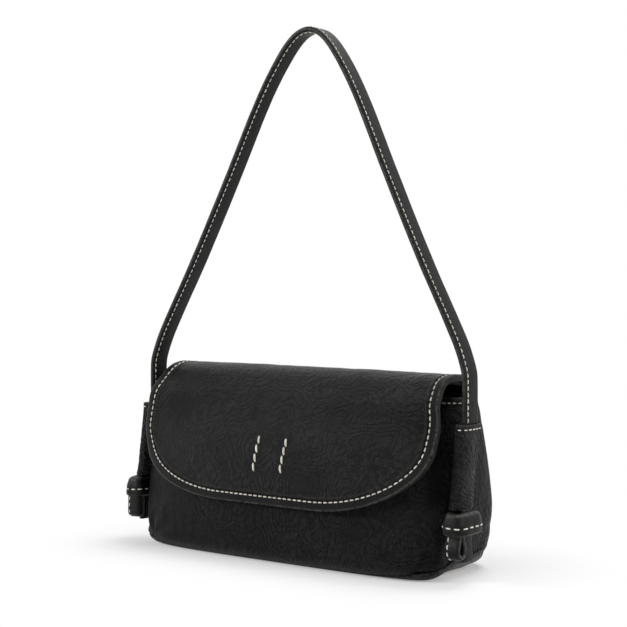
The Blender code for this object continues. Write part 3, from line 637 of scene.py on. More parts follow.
def body_relief(p):
    """How far the body's leather stands out from its plain form at a point, in metres."""
    x, y, z = p
    at = Vector(p)
    ends = smoothstep(abs(x), 0.080, 0.125)
    low = smoothstep(z, 0.003, 0.014)
    rim = 1 - 0.75 * smoothstep(z, BODY_HEIGHT - 0.014, BODY_HEIGHT)
    swell = waves(at, BODY_waves)
    # Narrow folds, deeper towards the ends
    fold = 1 - abs(noise.noise(Vector((x / 0.022 + 9, y / 0.022 + 2, z / 0.034 + 4)))) * 2.4
    swell -= max(fold, 0.0) ** 3 * (0.0002 + 0.0006 * ends)
    # Creases that fan out from the lower front corners
    side = math.copysign(1.0, x)
    du = abs(x) - 0.117 + 0.6 * (abs(y) - 0.042 if y < 0 else -0.03)
    dz = z - 0.006
    if y < 0:
        fan = math.sin(math.atan2(dz, -du) * 8.0 + side + 2.0 * noise.noise(at / 0.02))
        swell += fan * 0.00095 * bell(math.hypot(du, dz), 0.015, 0.012)
    snap = 1 - bell(math.hypot(x, z - SNAP_HEIGHT), 0.0, 0.016) if y < 0 else 1.0
    beside = 1 - 0.75 * smoothstep(abs(x), 0.126, 0.134) * smoothstep(z, 0.030, 0.045)
    return min(swell * low * rim * snap * beside, RELIEF_MOST)


def corner_slit(p):
    """The stitched fold at the lower front corners: 1 at its bottom."""
    _, y, z = p
    if y > -0.012 or y < -0.0445:
        return 0.0
    along = smoothstep(-y, 0.012, 0.020) * (1 - smoothstep(-y, 0.0400, 0.0440))
    height = 0.0058 + 0.0045 * smoothstep(y, -0.027, -0.013)
    return along * bell(z, height, 0.0011)


def sleeve_shade(p):
    """Painted shade in the valley along a sleeve's front edge."""
    x, y, z = p
    front = sleeve_y(z) - sleeve_forward(z) - sleeve_width(z) / 2
    high = smoothstep(z, 0.040, 0.056) * (1 - smoothstep(z, 0.098, 0.108))
    return 0.95 * bell(y, front - 0.0020, 0.0060) * high * smoothstep(abs(x), 0.116, 0.126)


def turned_up(points):
    """Raises the body's foot at its ends, most at the back, as the base turns up there."""
    raised = points.copy()
    flat = raised.reshape(-1, 3)
    for p in flat:
        x, y, z = p
        ends = smoothstep(abs(x), 0.100, 0.132) * smoothstep(y, -0.036, -0.006)
        rise = 0.0052 + 0.0034 * smoothstep(y, 0.0, 0.035)
        p[2] += rise * ends * (1 - smoothstep(z, 0.003, 0.042))
    return raised


def lay_body(points, relief_points, turned):
    """Moves a grid of wall points by the relief of the outer wall at the same places."""
    normals = grid_normals(points) * turned
    lift = np.array([[body_relief(p) for p in row] for row in relief_points])
    slit = np.array([[corner_slit(p) for p in row] for row in relief_points])
    return points + normals * (lift - slit * SLIT_DEPTH)[..., None], slit


def foot_ring(angles, turns, radius):
    """The wall's rounded foot at some turns of its rounding: 0 is flat on the ground."""
    inset = BASE_ROUND - radius * np.sin(turns)
    return wall(angles, BASE_ROUND, inset, z=BASE_ROUND - radius * np.cos(turns))


def panel_grids(front):
    """Outer and inner grids of a body panel from the base seam to the rim."""
    foot = even_angles(BASE_ROUND, front, HALF_COLUMNS)
    starts = np.array([seam_turn(a) + FIT / BASE_ROUND for a in foot])
    outer, inner = [], []
    for share in (0.0, 0.05, 0.12, 0.22, 0.34, 0.46, 0.58, 0.70, 0.82, 0.92):
        turn = starts + (math.pi / 2 - starts) * share
        for grid, depth in ((outer, 0.0), (inner, LEATHER)):
            tuck = 0.0005 * (1 - min(share / 0.12, 1.0)) if depth == 0.0 else 0.0
            grid.append(foot_ring(foot, turn, BASE_ROUND - depth - tuck))
    edge = LEATHER / 2
    for height in np.linspace(BASE_ROUND, BODY_HEIGHT - edge, 62):
        angles = even_angles(height, front, HALF_COLUMNS)
        outer.append(wall(angles, height, 0.0))
        inner.append(wall(angles, height, LEATHER))
    angles = even_angles(BODY_HEIGHT, front, HALF_COLUMNS)
    for turn in (0.35, 0.75, 1.15, math.pi / 2):
        rise = BODY_HEIGHT - edge * (1 - math.sin(turn))
        inset = edge * (1 - math.cos(turn))
        outer.append(wall(angles, BODY_HEIGHT, inset, z=rise))
        inner.append(wall(angles, BODY_HEIGHT, LEATHER - inset, z=rise))
    outer, inner = np.array(outer), np.array(inner)
    shift = np.array([0.0, -FIT / 2 if front else FIT / 2, 0.0])
    return outer + shift, inner + shift


def body_panel(name, node, front):
    plain, inner = panel_grids(front)
    facing = grid_normals(plain)[30, HALF_COLUMNS // 2][1]
    side = 1.0 if (facing < 0) == front else -1.0
    outer, slit = lay_body(plain, plain, side)
    inner, _ = lay_body(inner, plain, side)
    # The panels' ends tuck in towards the side seams
    columns = np.arange(plain.shape[1])
    across = np.minimum(columns, columns[::-1]) * 0.0018
    tuck = 0.0006 * np.exp(-((across / 0.0014) ** 2))
    outer[:, :, 0] -= np.sign(outer[:, :, 0]) * tuck[None, :] * (np.abs(outer[:, :, 0]) > 0.05)
    z = plain[:, :, 2]
    # Lighter along the rim's top edge and just above the foot.
    wear = 0.95 * np.clip((z - (BODY_HEIGHT - 0.0010)) / 0.0006, 0, 1)
    wear += 0.30 * np.exp(-((z - 0.003) / 0.003) ** 2)
    ends = np.clip((np.abs(plain[:, :, 0]) - 0.06) / 0.06, 0, 1)
    crease = 0.12 * ends + 0.15 * np.exp(-((z - 0.012) / 0.02) ** 2)
    crease -= 0.32 * np.clip(-plain[:, :, 0] / 0.08, 0, 1)
    beside = np.array([[sleeve_shade(p) for p in row] for row in plain])
    # Painted shade: the corner slits and the valleys beside the sleeves are darkened nearly to black.
    made = skin(name, turned_up(outer), turned_up(inner), BODY_GRAIN,
                wear=wear, crease=crease, hollow=slit * 0.9 + beside)
    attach(made, "bag")
    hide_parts(node)


def base_piece():
    """The base: flat under the bag and turned up at the ends to its seam."""
    angles = whole_ring(BASE_ROUND, 120)
    turns = np.array([seam_turn(a) for a in angles])
    rings = []
    for depth, shares in ((0.0, (0.0, 0.25, 0.5, 0.75, 0.93, 1.0)), (LEATHER, (1.0, 0.5, 0.0))):
        for share in shares:
            tuck = 0.0004 if depth == 0.0 and share == 1.0 else 0.0
            rings.append(foot_ring(angles, turns * share, BASE_ROUND - depth - tuck))
    made = tube("base_leather", turned_up(np.array(rings)), BODY_GRAIN, wear=0.35)
    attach(made, "bag")
    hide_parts("base_panel")


def lining_piece():
    """The sewn textile bag inside, with a soft turn at its floor."""
    skin_depth = LEATHER + LINING_GAP
    floor = LEATHER + FIT + BOARD + FIT
    top = BODY_HEIGHT - FACING_HEIGHT - FIT

    def rings(depth):
        made = []
        radius = LINING_ROUND - depth
        low = whole_ring(BASE_ROUND, INNER_COLUMNS)
        for turn in np.linspace(0, math.pi / 2, 6):
            inset = skin_depth + LINING_ROUND - radius * math.sin(turn)
            rise = floor + LINING_ROUND - radius * math.cos(turn)
            made.append(wall(low, BASE_ROUND + rise, inset, z=rise))
        for height in np.linspace(floor + LINING_ROUND + BASE_ROUND, top, 34):
            angles = whole_ring(height, INNER_COLUMNS)
            here = wall(angles, height, skin_depth + depth)
            lift = np.array([body_relief(p) for p in wall(angles, height, 0.0)])
            middle = here[:, :2] - np.array([0.0, seam_y(height)])
            size = np.linalg.norm(middle, axis=1, keepdims=True)
            here[:, :2] += middle / size * np.minimum(lift, 0.0)[:, None]
            made.append(here)
        return made

    made = tube("lining_cloth", rings(0.0) + rings(LINING)[::-1], CLOTH)
    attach(made, "bag")
    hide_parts("lining")


def facing_piece():
    """Leather facing inside the mouth, with a turned lower edge."""
    heights = np.linspace(BODY_HEIGHT - FACING_HEIGHT, BODY_HEIGHT - 0.0002, 12)
    start = LEATHER + FIT
    course = [(start, height) for height in heights]
    course += [(start + FACING, height) for height in heights[::-1]]
    rings = [wall(whole_ring(height, INNER_COLUMNS), height, depth) for depth, height in course]
    made = tube("mouth_leather", rings, GRAIN, loop=True)
    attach(made, "bag")
    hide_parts("mouth_facing")


def pocket_piece():
    """Slip pocket on the back lining, a little slack at its mouth."""
    start = LEATHER + LINING_GAP + LINING + FIT
    grids = ([], [])
    for height in np.linspace(POCKET_BOTTOM, POCKET_TOP, 22):
        slack = 0.0022 * smoothstep(height, POCKET_TOP - 0.03, POCKET_TOP)
        turned = 0.0006 * smoothstep(height, POCKET_TOP - 0.012, POCKET_TOP - 0.011)
        for grid, depth in zip(grids, (start, start + POCKET + turned)):
            row = []
            for share in np.linspace(-0.5, 0.5, 41):
                x = POCKET_WIDTH * share
                sag = slack * math.cos(math.pi * share) ** 2
                row.append((x, back_at(x, height) - depth - sag, height))
            grid.append(row)
    made = skin("pocket_cloth", *grids, CLOTH)
    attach(made, "bag")
    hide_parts("slip_pocket")


def away_from(middle, here, along):
    """The level normal of a course at a point, on the side away from the middle."""
    out = Vector((along[1], -along[0], 0.0)).normalized()
    return -out if out.dot(here - middle) < 0 else out


def rim_stitches():
    height = BODY_HEIGHT - RIM_DROP
    for word, front in (("front", True), ("back", False)):
        points = wall(even_angles(height, front, 400), height, 0.0)
        course = []
        for point, along in zip(points, np.gradient(points, axis=0)):
            out = Vector((along[1], -along[0], 0.0)).normalized()
            course.append((Vector(point) + out * body_relief(point), out))
        made = stitch_run("rim_stitches_" + word, course, RIM_PITCH, RIM_STITCH)
        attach(made, "bag")


def snap_bump(x, z):
    across = max(0.0, 1 - (2 * x / FLAP_WIDTH) ** 2)
    far = BODY_HEIGHT - SNAP_HEIGHT if z > SNAP_HEIGHT else SNAP_HEIGHT - FLAP_BOTTOM
    away = min(abs(z - SNAP_HEIGHT) / far, 1.0)
    return across * (1 - away**4) ** 2


def flap_front_y(x, z):
    room = FLAP_EDGE_GAP + (SNAP_ROOM - FLAP_EDGE_GAP) * snap_bump(x, z)
    return front_at(x, z, FLAP_FLARE) - room - FLAP_EDGE


def flap_profile():
    """The flap's top face at its middle, from the hem over the crest to the lower edge: Y, Z and
    how far it follows a panel there, -1 for the back and 1 for the front."""
    rear = LEATHER + FIT
    rim_y = back_y(BODY_HEIGHT) + rear
    rise = FLAP_TOP - BODY_HEIGHT
    drop = BODY_HEIGHT - FLAP_BOTTOM
    shoulder = flap_front_y(0.0, BODY_HEIGHT * 0.93)
    hem = (FLAP_HEM_BOTTOM, (FLAP_HEM_BOTTOM + BODY_HEIGHT) / 2)
    front = [FLAP_BOTTOM + drop * share for share in (0.82, 0.60, 0.36, 0.15, 0.0)]
    line = [(back_y(z) + rear, z, -1.0) for z in hem] + [
        (rim_y, BODY_HEIGHT + rise * 0.06, -0.8),
        (rim_y - rise * 0.22, BODY_HEIGHT + rise * 0.56, -0.3),
        (rim_y - rise * 0.95, BODY_HEIGHT + rise * 0.87, 0.0),
        (FLAP_CREST_Y, FLAP_TOP, 0.0),
        (shoulder + rise * 0.75, FLAP_TOP - rise * 0.28, 0.15),
        (shoulder + rise * 0.10, BODY_HEIGHT - rise * 0.05, 0.5),
    ] + [(flap_front_y(0.0, z), z, 1.0) for z in front]
    return [Vector(entry) for entry in line]


def trace_flap(steps=16):
    line = flap_profile()
    spans = run_lengths([entry.to_2d() for entry in line])
    path = [line[0]]
    for low, high in zip(spans, spans[1:]):
        for step in range(1, steps + 1):
            path.append(smooth_between(spans, line, low + (high - low) * step / steps))
    runs = run_lengths([point.to_2d() for point in path])
    return path, runs, runs[::steps]


FLAP_PATH, FLAP_RUNS, FLAP_MARKS = trace_flap()
CREST_RUN = FLAP_MARKS[5]
END_RUN = FLAP_MARKS[-1]
CORNER_X = FLAP_WIDTH / 2 - FLAP_CORNER_ACROSS
CORNER_RUN = END_RUN - FLAP_CORNER
OUTLINE_STEP = 0.0008
SHOULDER_IN = 0.0013


def on_path(run):
    run = min(max(run, 0.0), END_RUN)
    i = min(max(bisect.bisect_right(FLAP_RUNS, run) - 1, 0), len(FLAP_PATH) - 2)
    share = (run - FLAP_RUNS[i]) / (FLAP_RUNS[i + 1] - FLAP_RUNS[i])
    return FLAP_PATH[i].lerp(FLAP_PATH[i + 1], share)


def flap_station(run):
    here = on_path(run)
    step = 0.0035
    along = (on_path(run + step) - on_path(run - step)).to_2d().normalized()
    return here, Vector((-along.y, along.x))


def plain_half_width(run):
    if run <= CREST_RUN:
        share = smoothstep(run, 0.0, CREST_RUN)
        return (FLAP_HEM_WIDTH + (FLAP_TOP_WIDTH - FLAP_HEM_WIDTH) * share) / 2
    widened = min((run - CREST_RUN) / (END_RUN - CREST_RUN) * 2, 1.0)
    widest = (FLAP_TOP_WIDTH + (FLAP_WIDTH - FLAP_TOP_WIDTH) * widened) / 2
    short = max(FLAP_CORNER - (END_RUN - run), 0.0) / FLAP_CORNER
    return widest - FLAP_CORNER_ACROSS * (1 - math.sqrt(max(1 - short**2, 0.0)))


def flap_half_width(run):
    short = max(HEM_CORNER - run, 0.0)
    return plain_half_width(run) - HEM_CORNER + math.sqrt(max(HEM_CORNER**2 - short**2, 0.0))


def trace_outline():
    """The right half of the flap's outline as (x, run), from the hem's middle to the front's."""
    line = [(x, 0.0) for x in np.arange(0.0, flap_half_width(0.0), OUTLINE_STEP)]
    hem_runs = HEM_CORNER * (1 - np.cos(np.linspace(0, math.pi / 2, 41)))
    line += [(flap_half_width(run), run) for run in hem_runs]
    sides = np.arange(HEM_CORNER + OUTLINE_STEP, CORNER_RUN, OUTLINE_STEP)
    line += [(plain_half_width(run), run) for run in sides]
    for turn in np.linspace(0, math.pi / 2, 241):
        x = CORNER_X + FLAP_CORNER_ACROSS * math.cos(turn)
        line.append((x, CORNER_RUN + FLAP_CORNER * math.sin(turn)))
    line += [(x, END_RUN) for x in np.arange(CORNER_X - OUTLINE_STEP, -0.002, -OUTLINE_STEP)]
    return [Vector(pair) for pair in line]


OUTLINE = trace_outline()
OUTLINE_TREE = kdtree.KDTree(len(OUTLINE))
for place, pair in enumerate(OUTLINE):
    OUTLINE_TREE.insert((pair.x, pair.y, 0.0), place)
OUTLINE_TREE.balance()


def edge_distance(x, run):
    """Distance on the flap from a point to the flap's outline."""
    here = Vector((abs(x), run))
    _, place, least = OUTLINE_TREE.find((here.x, here.y, 0.0))
    for low in (place - 1, place):
        if 0 <= low < len(OUTLINE) - 1:
            near, share = intersect_point_line(here, OUTLINE[low], OUTLINE[low + 1])
            if 0 <= share <= 1:
                least = min(least, (near.to_2d() - here).length)
    return least


def flap_thickness(run):
    return FLAP_LEATHER + (FLAP_EDGE - FLAP_LEATHER) * smoothstep(run, 0.018, 0.040)


# Needle rows over the snap's tab: x, first run, last run
SADDLE_ROWS = ((-0.0100, 0.1275, 0.1530), (0.0140, 0.1280, 0.1525))


def flap_relief(x, run):
    """How far the flap's top leather stands out from its plain form: a flat band along the edge,
    pressed in under the stitches, a groove inside them, the lip of the field, the soft field."""
    away = edge_distance(x, run)
    thick = smoothstep(run, 0.018, 0.040)
    lift = (0.25 + 0.75 * thick) * 0.00045 * (1 - smoothstep(away, 0.0044, 0.0066))
    lift -= 0.00022 * bell(away, EDGE_LINE, 0.0006)
    lift -= (0.35 + 0.65 * thick) * 0.00080 * bell(away, EDGE_LINE + 0.0013, 0.0007)
    lift += 0.00040 * thick * bell(away, EDGE_LINE + 0.0029, 0.0012)
    field = smoothstep(away, 0.0085, 0.024)
    lift += 0.0005 * field * thick
    at = Vector((x, run, 0.0))
    lift += field * waves(at, FLAP_waves)
    fold = 1 - abs(noise.noise(Vector((x / 0.030, run / 0.018, 3.0)))) * 2.6
    lift -= field * max(fold, 0.0) ** 3 * (0.00012 + 0.00022 * smoothstep(x, 0.02, 0.10))
    lift += 0.00012 * noise.noise(at / 0.010 + Vector((2, 8, 5)))
    for middle, first, last in SADDLE_ROWS:
        past = max(first - run, run - last, 0.0)
        lift -= 0.00045 * bell(math.hypot(x - middle, past), 0.0, 0.0042)
    return lift


def flap_place(x, run, depth):
    """The point of the flap at a place across it, a run down it and a depth under its top face."""
    here, inward = flap_station(run)
    y = here.x + inward.x * depth
    z = here.y + inward.y * depth
    follow = here.z
    level = min(here.y, BODY_HEIGHT)
    # The sides hang further forward at the shoulder than the middle does
    past_crest = smoothstep(run, CREST_RUN - 0.012, CREST_RUN + 0.014)
    ends = smoothstep(abs(x), 0.050, 0.124) * past_crest
    # Drawn in at the shoulder, so that the strap's feet stay clear as the flap lifts
    x -= math.copysign(SHOULDER_IN, x) * ends * smoothstep(here.y, 0.070, 0.118)
    if x > 0:
        y -= 0.0028 * ends * smoothstep(here.y, 0.066, 0.126)
    else:
        y -= ends * (0.0080 * bell(here.y, 0.107, 0.015) - 0.0030 * bell(here.y, 0.075, 0.012))
    if follow > 0:
        y += follow * (front_at(x, level, FLAP_FLARE) - front_y(level))
        y += follow * (SNAP_ROOM - FLAP_EDGE_GAP) * (snap_bump(0.0, here.y) - snap_bump(x, here.y))
    else:
        y += -follow * (back_at(x, level) - back_y(level))
    return Vector((x, y, z))


def rounding(away, run):
    radius = flap_thickness(run) * 0.38
    if away >= radius:
        return 0.0
    return radius - math.sqrt(max(radius**2 - (radius - away) ** 2, 0.0))


def flap_outer(x, run):
    return flap_place(x, run, rounding(edge_distance(x, run), run) - flap_relief(x, run))


def flap_inner(x, run):
    away = edge_distance(x, run)
    thick = flap_thickness(run)
    recess = smoothstep(away, FLAP_EDGE_BAND, FLAP_EDGE_BAND + 0.0004)
    relief = -flap_relief(x, run) * recess
    depth = thick - rounding(away, run)
    return flap_place(x, run, depth + (FLAP_LEATHER - depth) * recess + relief)


# Distances from the flap's edge to its columns, close together where the rolled band is
INSETS = [value / 1000 for value in (
    0, 0.1, 0.3, 0.6, 1.0, 1.5, 2.2, 3.0, 3.9, 4.8, 5.4, 5.9, 6.3, 6.7, 7.1, 7.5, 7.9, 8.3, 8.8,
    9.4, 10.2, 11.4, 13, 15.5, 18.5, 22, 25.5, 29,
)]


def flap_columns(run):
    half = flap_half_width(run)
    inner = half - INSETS[-1]
    right = [half - value for value in INSETS]
    right += [inner * share / 26 for share in range(25, 0, -1)]
    return [-x for x in right] + [0.0] + right[::-1]


def flap_rows(part):
    if part == "rear":
        edge = [value for value in INSETS if value < 0.009]
        return edge + list(np.linspace(0.010, FLAP_SPLIT, 28))
    corner = CORNER_RUN + FLAP_CORNER * np.sin(np.linspace(0, math.pi / 2, 97))
    return [*np.linspace(FLAP_SPLIT, CORNER_RUN, 32)[:-1], *corner[:-1], END_RUN]


def flap_wear(x, run):
    # Lighter at the outer edge and along the lip inside the stitches: wear with a painted highlight. A
    # little lighter over the crest.
    away = edge_distance(x, run)
    worn_and_highlight = 0.9 * bell(away, 0.0008, 0.0007) + 0.35 * bell(away, EDGE_LINE + 0.0027, 0.0008)
    return worn_and_highlight + 0.10 * bell(run, CREST_RUN, 0.012)


def flap_crease(x, run):
    folds = 0.35 * smoothstep(x, 0.03, 0.11) - 0.15 * smoothstep(-x, 0.02, 0.09)
    return folds - 1.1 * (1 - smoothstep(edge_distance(x, run), 0.0055, 0.0095))


def flap_shell(name, part, nodes):
    rows = flap_rows(part)
    outer, inner, wear, crease = (
        [[form(x, run) for x in flap_columns(run)] for run in rows]
        for form in (flap_outer, flap_inner, flap_wear, flap_crease)
    )
    ends = (part == "rear", part == "front")
    made = skin(name, outer, inner, GRAIN, ends, wear=wear, crease=crease)
    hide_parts(*nodes)
    return made


FLAP_LINING_START = 0.0345


def flap_lining(name, part, node):
    """The textile behind the flap's leather, in the recess inside the rolled edge."""
    inset = FLAP_EDGE_BAND + 0.0006
    if part == "rear":
        rows = list(np.linspace(FLAP_LINING_START, FLAP_SPLIT, 14))
    else:
        rows = [run for run in np.linspace(FLAP_SPLIT, END_RUN, 64) if run < END_RUN - inset]
        rows.append(END_RUN - inset)
    outer, inner = [], []
    for run in rows:
        if run > CORNER_RUN:
            short = (run - CORNER_RUN) / (FLAP_CORNER - inset)
            half = CORNER_X + (FLAP_CORNER_ACROSS - inset) * math.sqrt(max(1 - short**2, 0.0))
        else:
            half = plain_half_width(run) - inset
        thick = flap_thickness(run)
        columns = np.linspace(-half, half, 90)
        outer.append([flap_place(x, run, thick - FLAP_LINING) for x in columns])
        inner.append([flap_place(x, run, thick - 0.0001) for x in columns])
    made = skin(name, outer, inner, CLOTH, (part == "rear", part == "front"))
    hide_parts(node)
    return made


def flap_outline(inset):
    """The outline's right half moved in, as (x, run) pairs from the hem to the front."""
    pairs = []
    for behind, here, ahead in zip(OUTLINE, OUTLINE[1:], OUTLINE[2:]):
        along = (ahead - behind).normalized()
        pair = here + Vector((-along.y, along.x)) * inset
        if pair.x >= 0:
            pairs.append((pair.x, pair.y))
    return pairs


def flap_course(pairs):
    course = []
    for x, run in pairs:
        point = flap_outer(x, run)
        across = flap_outer(x + 0.0008, run) - flap_outer(x - 0.0008, run)
        down = flap_outer(x, run + 0.0008) - flap_outer(x, run - 0.0008)
        out = across.cross(down)
        centre = flap_place(x, run, 0.01)
        if out.dot(point - centre) < 0:
            out.negate()
        course.append((point, out.normalized()))
    return course


def build_flap():
    rear = flap_shell("flap_rear_leather", "rear", ("flap_hem", "flap_top"))
    front = flap_shell("flap_front_leather", "front", ("flap_front",))
    rear_cloth = flap_lining("flap_rear_cloth", "rear", "flap_top_lining")
    front_cloth = flap_lining("flap_front_cloth", "front", "flap_front_lining")
    right = flap_outline(EDGE_LINE)
    left = [(-x, run) for x, run in reversed(right)]
    front_pairs = [pair for pair in right + left if pair[1] >= FLAP_SPLIT]
    rear_pairs = [pair for pair in left + right if pair[1] < FLAP_SPLIT]
    front_line = stitch_run("flap_front_stitches", flap_course(front_pairs), PITCH, STITCH)
    rear_line = stitch_run("flap_rear_stitches", flap_course(rear_pairs), PITCH, STITCH)
    for made in (rear, rear_cloth, rear_line):
        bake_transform(made)
    for made in (front, front_cloth, front_line):
        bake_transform(made)
    for k, (x, low, high) in enumerate(SADDLE_ROWS):
        pairs = [(x, run) for run in np.linspace(low, high, 60)]
        name = "snap_stitches_%d" % (k + 1)
        pitch = (high - low) / 4
        row = stitch_run(name, flap_course(pairs), pitch, SADDLE_STITCH, SADDLE_THREAD, slant=0.26)
        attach(row, "flap_front_part")
    tab_piece()


TAB = 0.0009
TAB_GAP = 0.00055
TAB_RUN = 0.1405
TAB_HALF_LENGTH = 0.018
TAB_HALF_WIDTH = 0.017


def tab_piece():
    """Leather tab between the flap's leather and its lining, which carries the stud."""
    start = FLAP_LEATHER + TAB_GAP
    grids = ([], [])
    for t in np.linspace(-1, 1, 25):
        half = TAB_HALF_WIDTH - 0.0035 * max(abs(t) - 0.75, 0.0) ** 2 * 16
        run = TAB_RUN + TAB_HALF_LENGTH * t
        for grid, depth in zip(grids, (start, start + TAB)):
            grid.append([flap_place(x, run, depth) for x in np.linspace(-half, half, 21)])
    made = skin("stud_tab", *grids, GRAIN)
    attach(made, "flap_front_part")
    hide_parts("snap_tab")


def up_sleeve(z, bottom, top):
    """From one value at the sleeve's bottom to another at its top."""
    return bottom + (top - bottom) * (z - SLEEVE_BOTTOM) / (SLEEVE_TOP - SLEEVE_BOTTOM)


def sleeve_y(z):
    return up_sleeve(z, SLEEVE_BOTTOM_Y, SLEEVE_TOP_Y)


def sleeve_width(z):
    return up_sleeve(z, SLEEVE_WIDTH, SLEEVE_TOP_WIDTH)


def sleeve_forward(z):
    return up_sleeve(z, 0.0, SLEEVE_FORWARD)


def strap_stations():
    """The right half of the strap's middle line, from the tail up to the top: x, y, z, width."""
    clear = math.hypot(LAP_RISE, STRAP_WIDTH / 2) + FIT
    inside = [SLEEVE_TOP + (SLEEVE_BOTTOM - SLEEVE_TOP) * share for share in SLEEVE_shares[::-1]]
    base = SWING_Z + LAP_RISE
    rise = STRAP_TOP - STRAP / 2 - base
    line = [
        (KNOT_X, TAIL_Y, TAIL_BOTTOM, TAIL_WIDTH),
        (KNOT_X, PINCH_Y, KNOT_Z - KNOT_HEIGHT / 2, PINCH_WIDTH),
        (KNOT_X, PINCH_Y, KNOT_Z + KNOT_HEIGHT / 2, PINCH_WIDTH),
        *((SLEEVE_X, sleeve_y(z), z, STRAP_WIDTH) for z in inside),
        (SLEEVE_X, SLEEVE_TOP_Y, SWING_Z - clear, STRAP_WIDTH),
        *((SLEEVE_X * out, SLEEVE_TOP_Y + STRAP_LEAN * share, base + rise * share, STRAP_WIDTH)
          for out, share in ARCH_shares),
    ]
    return [Vector(entry) for entry in line]


def strap_line():
    right = strap_stations()
    left = [Vector((-p[0], p[1], p[2], p[3])) for p in right[-2::-1]]
    return run_lengths([p.to_3d() for p in right + left]), right + left


STRAP_STATIONS, STRAP_POINTS = strap_line()
STRAP_LENGTH = STRAP_STATIONS[-1]


def strap_frame(run):
    """Middle, outward direction and width of the strap at a run along it."""
    here, course = at_run(STRAP_STATIONS, STRAP_POINTS, run, STRAP)
    return here.to_3d(), Vector((course.z, 0, -course.x)).normalized(), here[3]


def belt_half(from_front, width, thick):
    """Half the belt's thickness at a distance from its front edge: a thick rounded front edge,
    a pressed line under the stitches, a slimmer fold at the rear."""
    half = thick / 2 - 0.00030 * smoothstep(from_front, width * 0.5, width)
    for away, radius in ((from_front, thick * 0.47), (width - from_front, thick * 0.42)):
        if away < radius:
            half *= math.sqrt(max(1 - ((radius - away) / radius) ** 2, 0.0))
    half -= 0.00026 * bell(from_front, BELT_LINE, 0.0007)
    half += 0.00010 * bell(from_front, 0.0012, 0.0006)
    return max(half, 0.0)


BELT_SAMPLES = (0.0, 0.006, 0.024, 0.055, 0.09, 0.125, 0.15, 0.168, 0.188, 0.215, 0.26, 0.33, 0.42,
                0.52, 0.62, 0.72, 0.80, 0.87, 0.92, 0.955, 0.98, 0.995, 1.0)


def belt_section(width, thick):
    """(across, along, share of width) round the belt's section."""
    outer = [(belt_half(share * width, width, thick), (share - 0.5) * width, share)
             for share in BELT_SAMPLES]
    return outer + [(-across, along, share) for across, along, share in outer[-2:0:-1]]


def strap_piece():
    rings = []
    for run in np.linspace(0, STRAP_LENGTH, 421):
        here, out, width = strap_frame(run)
        ring = []
        swell = noise.noise(Vector((run / 0.035, 1.7, 0))) * 0.00018 if here.z > SLEEVE_TOP else 0.0
        for across, along, _ in belt_section(width, STRAP):
            wave = swell + 0.0001 * noise.noise(Vector((run / 0.009, along / 0.006, across * 300)))
            grow = 1 + wave / (STRAP / 2)
            ring.append(here + out * (across * grow) + Vector((0, along + swell * 0.6, 0)))
        rings.append(ring)
    # Lighter along the rear fold and the front edge: painted edge highlights together with wear.
    wear = [0.75 * bell(share, 1.0, 0.022) + 0.40 * bell(share, 0.0, 0.03)
            for *_, share in belt_section(STRAP_WIDTH, STRAP)]
    made = tube("strap_belt", rings, BELT, wear=wear)
    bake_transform(made)
    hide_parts("strap", "strap_end_left", "strap_end_right")
    for word, face in (("outer", 1), ("inner", -1)):
        course = []
        for i in range(2400):
            here, out, width = strap_frame(STRAP_LENGTH * (i + 0.5) / 2400)
            if here.z >= SLEEVE_TOP - 0.008:
                half = belt_half(BELT_LINE, width, STRAP)
                point = here + out * (half * face) + Vector((0, BELT_LINE - width / 2, 0))
                course.append((point, out * face))
        line = stitch_run("strap_stitches_" + word, course, STRAP_PITCH, STITCH, 0.00046)
        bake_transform(line)


def sleeve_ring(side, z, width, thick, power, creased=0.0, count=88):
    """A ring of the sleeve; creased is 1 on its outer face, which is crumpled at the front."""
    ring = []
    middle = sleeve_y(z) - sleeve_forward(z) * creased
    crumpled, waved = (0.00055, 0.00035) if side > 0 else (0.0001, 0.0001)
    for i in range(count):
        turn = math.tau * i / count
        across = squared_off(math.cos(turn), power) * thick / 2
        along = squared_off(math.sin(turn), power) * width / 2
        front = smoothstep(-along, width * 0.18, width * 0.48)
        at = Vector((along / 0.014, across / 0.016 + side * 4, z / 0.0026))
        grow = noise.noise(at) * crumpled * front
        grow += noise.noise(Vector((along / 0.009, side, z / 0.013))) * waved
        grow += 0.00035 * bell(along, 0.0, width * 0.32)
        grow *= creased * (1 if across > 0 else 0.15)
        if across > 0:
            grow -= 0.0004 * bell(along, width / 2 - 0.0032, 0.0009) * creased
        size = math.hypot(across, along)
        across += across / size * grow + (grow if across > 0 else 0)
        along += along / size * grow
        ring.append(Vector((side * (SLEEVE_X + across), middle + along, z)))
    return ring


